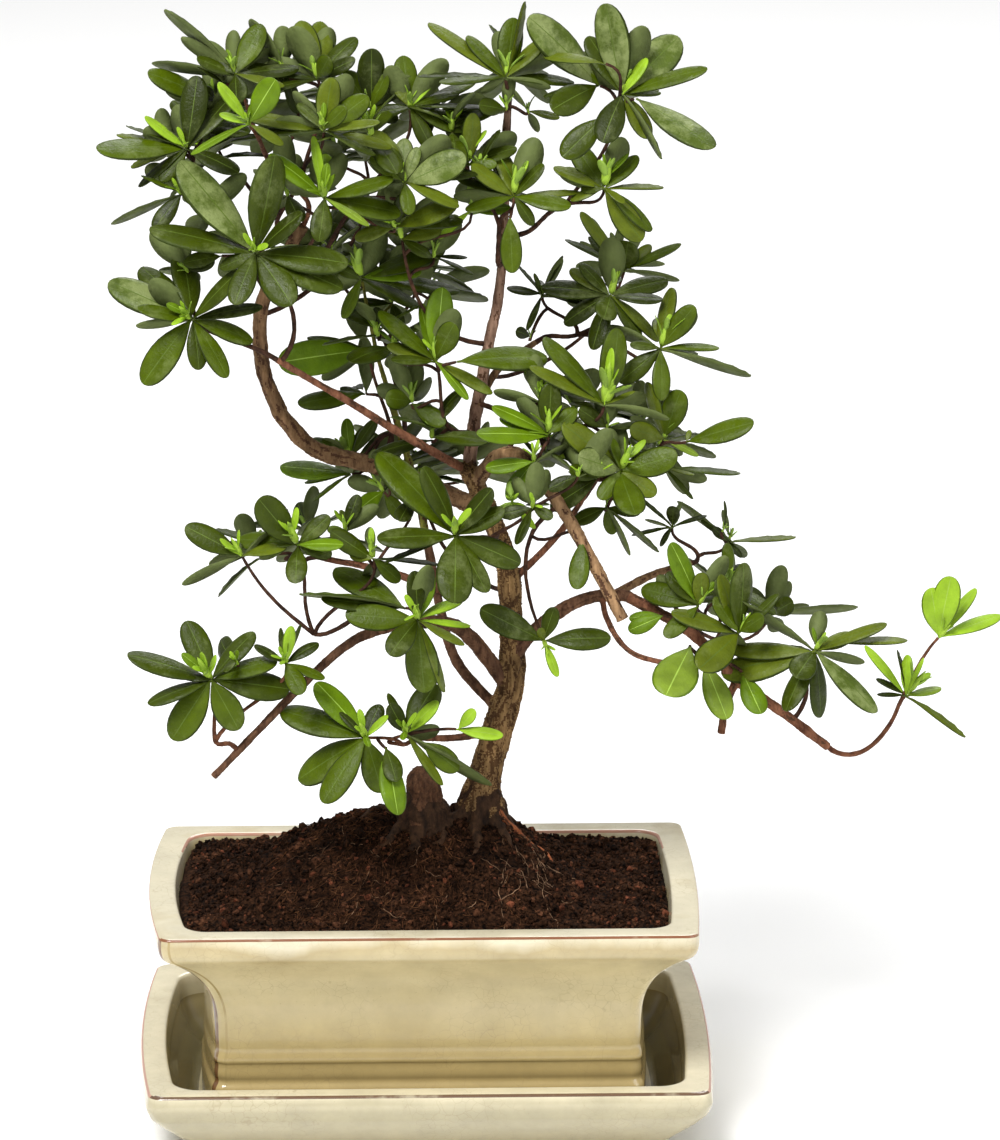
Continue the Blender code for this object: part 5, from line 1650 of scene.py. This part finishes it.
def build_soil(materials):
    """Crumbly earth with a root mound. Returns its surface, to drop points on."""
    inset = SOIL_INSET + CLEAR
    edge = resampled(level_ring(SOIL_Z, POT_LENGTH / 2 - inset, POT_DEPTH / 2 - inset,
                                POT_INNER_CORNER, POT_BOW), SOIL_AROUND)
    below = [p - UP * SOIL_SKIRT + Vector((math.copysign(1.5, -p.x), math.copysign(1.5, -p.y), 0))
             for p in edge]
    summit = []
    for point in edge:
        angle = math.atan2(point.y, point.x)
        summit.append(MOUND_MIDDLE + Vector((MOUND_TOP[0] * math.cos(angle),
                                             MOUND_TOP[1] * math.sin(angle), 0)))
    rings = [below] + [ground_ring(edge, summit, step / SOIL_RINGS) for step in range(SOIL_RINGS + 1)]
    middle = [MOUND_MIDDLE] * SOIL_AROUND
    rings += [ground_ring(rings[SOIL_RINGS + 1], middle, step / (MOUND_RINGS + 1))
              for step in range(1, MOUND_RINGS + 1)]
    skin = Skin()
    loft(skin, rings, lambda middle, i, k: 0)
    faces = [face for face in skin.faces if len(face) == 4]
    ground = BVHTree.FromPolygons(skin.vertices, faces)
    skin.piece("potting_soil", materials, "soil", ["soil"])
    return ground


def on_ground(ground, x, y):
    """The ground's point at a place, or None beside the soil."""
    return ground.ray_cast(Vector((x, y, 200)), -UP)[0]


# The corners of a crumb, from its top over two rings of five to its bottom.
CRUMB = [Vector(v).normalized() for v in (
    (0, 0, 1), (0.9, 0, 0.4), (0.3, 0.85, 0.4), (-0.7, 0.5, 0.4), (-0.7, -0.5, 0.4),
    (0.3, -0.85, 0.4), (0.7, 0.5, -0.4), (-0.3, 0.85, -0.4), (-0.9, 0, -0.4),
    (-0.3, -0.85, -0.4), (0.7, -0.5, -0.4), (0, 0, -1))]
CRUMB_FACES = [(0, i, i % 5 + 1) for i in range(1, 6)]
CRUMB_FACES += [(11, 6 + i % 5, 5 + i) for i in range(1, 6)]
CRUMB_FACES += [face for i in range(5) for face in (
    (1 + i, 6 + i, 1 + (i + 1) % 5), (6 + i, 6 + (i + 1) % 5, 1 + (i + 1) % 5))]


def build_crumbs(ground, materials):
    """Loose crumbs and a few clods, dropped on the ground at random."""
    rng = random.Random(5)
    skin = Skin()
    for _ in range(CRUMBS):
        x, y = rng.uniform(-90, 90), rng.uniform(-58, 58)
        hit = on_ground(ground, x, y)
        if hit is None:
            continue
        size = rng.uniform(*CRUMB_SIZES) * (CLOD_SIZE if rng.random() < CLOD_SHARE else 1)
        turn = Quaternion(random_vector(rng, 1).normalized(), rng.uniform(0, 6))
        stretch = Vector(drawn(rng, CRUMB_STRETCH))
        points = []
        for v in CRUMB:
            p = Vector([a * b for a, b in zip(v, stretch)]) * size * rng.uniform(0.75, 1.2)
            p.rotate(turn)
            points.append(hit + p + UP * size * 0.25)
        skin.add(points, CRUMB_FACES, rng.choices((0, 1, 2), CRUMB_MIX)[0])
    skin.piece("soil_crumbs", materials, "soil", smooth=False)


def build_fibres(ground, materials):
    """Fine roots that run down the mound, most of them on its left. The pale ones are in front."""
    rng = random.Random(8)
    skin = Skin()
    for number in range(FIBRES):
        pale = number < PALE_FIBRES
        if pale:
            x, y = drawn(rng, PALE_PATCH)
            direction = rng.gauss(-0.95, 0.25)
            reach = rng.uniform(6, 20)
        else:
            x, y = rng.triangular(-62, 44, -28), rng.uniform(-52, 26)
            direction = math.atan2(y + 2, x - 8) + rng.gauss(0, 0.7)
            reach = rng.uniform(3, 13)
        line = []
        wander = 0.0
        for _ in range(FIBRE_STEPS + 1):
            wander += rng.uniform(-FIBRE_SWAY, FIBRE_SWAY)
            x += math.cos(direction + wander) * reach / FIBRE_STEPS
            y += math.sin(direction + wander) * reach / FIBRE_STEPS
            hit = on_ground(ground, x, y)
            if hit is None:
                break
            line.append(hit + UP * (rng.uniform(0, 0.5) + 0.25))
        if len(line) < 4:
            continue
        thick = rng.uniform(*FIBRE_RADII) * (1.3 if pale else 1)
        tube(skin, line, [thick] * (len(line) - 1) + [FIBRE_TIP], 4,
             2 if pale else rng.choices((0, 1, 2), FIBRE_MIX)[0])
    skin.piece("root_fibres", materials, "bark")


# ---------------------------------------------------------------- stage, light and camera


FLOOR_HALF = 9000
SKY_STRENGTH = 0.37
# Lamps: the place in metres, the size and the power.
LAMPS = {
    "key": ((-0.8, -1.3, 2.2), 1.1, 86),
    "fill": ((1.6, -1.2, 1.3), 1.4, 18),
    "back": ((0.3, 1.8, 2.0), 1.4, 30),
}
LIT_POINT = Vector((0.02, 0, 0.2))
SENSOR_WIDTH = 36


def stage_light_camera():
    half = FLOOR_HALF * MM
    mesh = bpy.data.meshes.new("floor")
    mesh.from_pydata([(-half, -half, 0), (half, -half, 0), (half, half, 0), (-half, half, 0)], [],
                     [(0, 1, 2, 3)])
    mesh.materials.append(principled("pale_floor", 0.8, Base_Color=(0.93, 0.93, 0.925, 1),
                                     Specular_IOR_Level=0.1)[0])
    floor = placed("floor", mesh)

    world = bpy.data.worlds.new("studio")
    world.use_nodes = True
    sky = world.node_tree.nodes["Background"]
    sky.inputs["Color"].default_value = (1, 1, 1, 1)
    sky.inputs["Strength"].default_value = SKY_STRENGTH
    bpy.context.scene.world = world
    for name, (place, size, power) in LAMPS.items():
        data = bpy.data.lights.new(name, "AREA")
        data.size, data.energy = size, power
        lamp = placed(name, data)
        lamp.location = place
        lamp.rotation_euler = (LIT_POINT - Vector(place)).to_track_quat("-Z", "Y").to_euler()

    data = bpy.data.cameras.new("camera")
    data.sensor_width = SENSOR_WIDTH
    data.lens = SENSOR_WIDTH * VIEW_DISTANCE / VIEW_SPAN
    data.clip_end = 50
    camera = placed("camera", data)
    camera.location = (VIEW_TARGET + TO_VIEWER * VIEW_DISTANCE) * MM
    camera.rotation_euler = TO_VIEWER.to_track_quat("Z", "Y").to_euler()
    bpy.context.scene.camera = camera
    bpy.context.scene.view_settings.view_transform = "Standard"


# ---------------------------------------------------------------- the whole plant


# Glazes by height, from the bottom (0) to the top (1). The pot's darkens towards its foot, and its dip
# to the darkest at 0.93 is painted shade on the lip's face, which faces the lamps.
POT_GLAZE_AND_SHADE_STOPS = (
    (0.0, (0.38, 0.29, 0.125)), (0.3, (0.40, 0.30, 0.122)), (0.46, (0.47, 0.37, 0.16)),
    (0.7, (0.67, 0.575, 0.34)), (0.87, (0.55, 0.46, 0.26)), (0.93, (0.45, 0.36, 0.185)),
    (0.985, (0.62, 0.56, 0.40)),
)
# The tray's darkens towards its foot: painted shade on the outside face, which faces the lamps.
TRAY_GLAZE_AND_SHADE_STOPS = (
    (0.0, (0.36, 0.305, 0.165)), (0.6, (0.42, 0.37, 0.225)), (0.9, (0.47, 0.42, 0.28)),
    (1.0, (0.63, 0.57, 0.405)),
)
# Inside the tray it is darker towards the floor: water stains and the painted shade of the recess under
# the pot.
TRAY_INSIDE_STAIN_AND_SHADE_STOPS = ((0.0, (0.10, 0.085, 0.035)), (0.7, (0.26, 0.21, 0.10)), (1.0, (0.60, 0.52, 0.33)))
POT_LINES = {
    "pot_glaze": None,
    "pot_edge": (0.19, 0.06, 0.022),
    "pot_thin_edge": (0.42, 0.20, 0.13),
    "pot_corner_line": (0.13, 0.055, 0.02),
    "pot_corner_shade": (0.36, 0.27, 0.11),
}
TRAY_LINES = {
    "tray_glaze": None,
    "tray_edge": (0.10, 0.045, 0.022),
    "tray_thin_edge": (0.48, 0.27, 0.20),
}
# Earth and twig bark: their darkest and lightest colours.
SOIL_LOOKS = {
    "soil_dark": ((0.0015, 0.0006, 0.0003), (0.040, 0.017, 0.008)),
    "soil_brown": ((0.006, 0.0025, 0.0012), (0.098, 0.040, 0.020)),
    "soil_red": ((0.04, 0.012, 0.006), (0.16, 0.052, 0.026)),
}
FIBRE_LOOKS = {
    "fibre_tan": ((0.035, 0.014, 0.006), (0.13, 0.058, 0.025)),
    "fibre_brown": ((0.016, 0.007, 0.003), (0.075, 0.030, 0.013)),
    "fibre_pale": ((0.08, 0.045, 0.025), (0.27, 0.16, 0.095)),
}
TWIG_LOOKS = {
    "twig_bark": ((0.016, 0.008, 0.005), (0.095, 0.042, 0.024)),
    "twig_green": ((0.060, 0.055, 0.008), (0.20, 0.19, 0.030)),
    "twig_red": ((0.055, 0.018, 0.010), (0.22, 0.090, 0.045)),
}


def build():
    stage_light_camera()
    build_pot([glaze_material(name, POT_GLAZE_AND_SHADE_STOPS, 6, 90, line) for name, line in POT_LINES.items()])
    build_tray([*(glaze_material(name, TRAY_GLAZE_AND_SHADE_STOPS, 0, 30, line) for name, line in TRAY_LINES.items()),
                glaze_material("tray_inside_stain_and_shade", TRAY_INSIDE_STAIN_AND_SHADE_STOPS, 6, 30)])
    soils = [earth_material(name, *look) for name, look in SOIL_LOOKS.items()]
    ground = build_soil(soils[:1])
    build_crumbs(ground, soils)
    build_fibres(ground, [earth_material(name, *look, 300) for name, look in FIBRE_LOOKS.items()])
    lines = limb_lines()
    build_bark(lines, [bark_material(name, *look) for name, look in BARK_LOOKS.items()])
    leaves = leaf_materials()
    twig_barks = [bark_material(name, *look, (1, 1, 1), 380) for name, look in TWIG_LOOKS.items()]
    bud_green = leaf_material("bud_green", (0.27, 0.41, 0.04), 0.45, 0.1)
    for region in REGIONS:
        grow_region(region, lines, leaves, twig_barks, bud_green)


build()
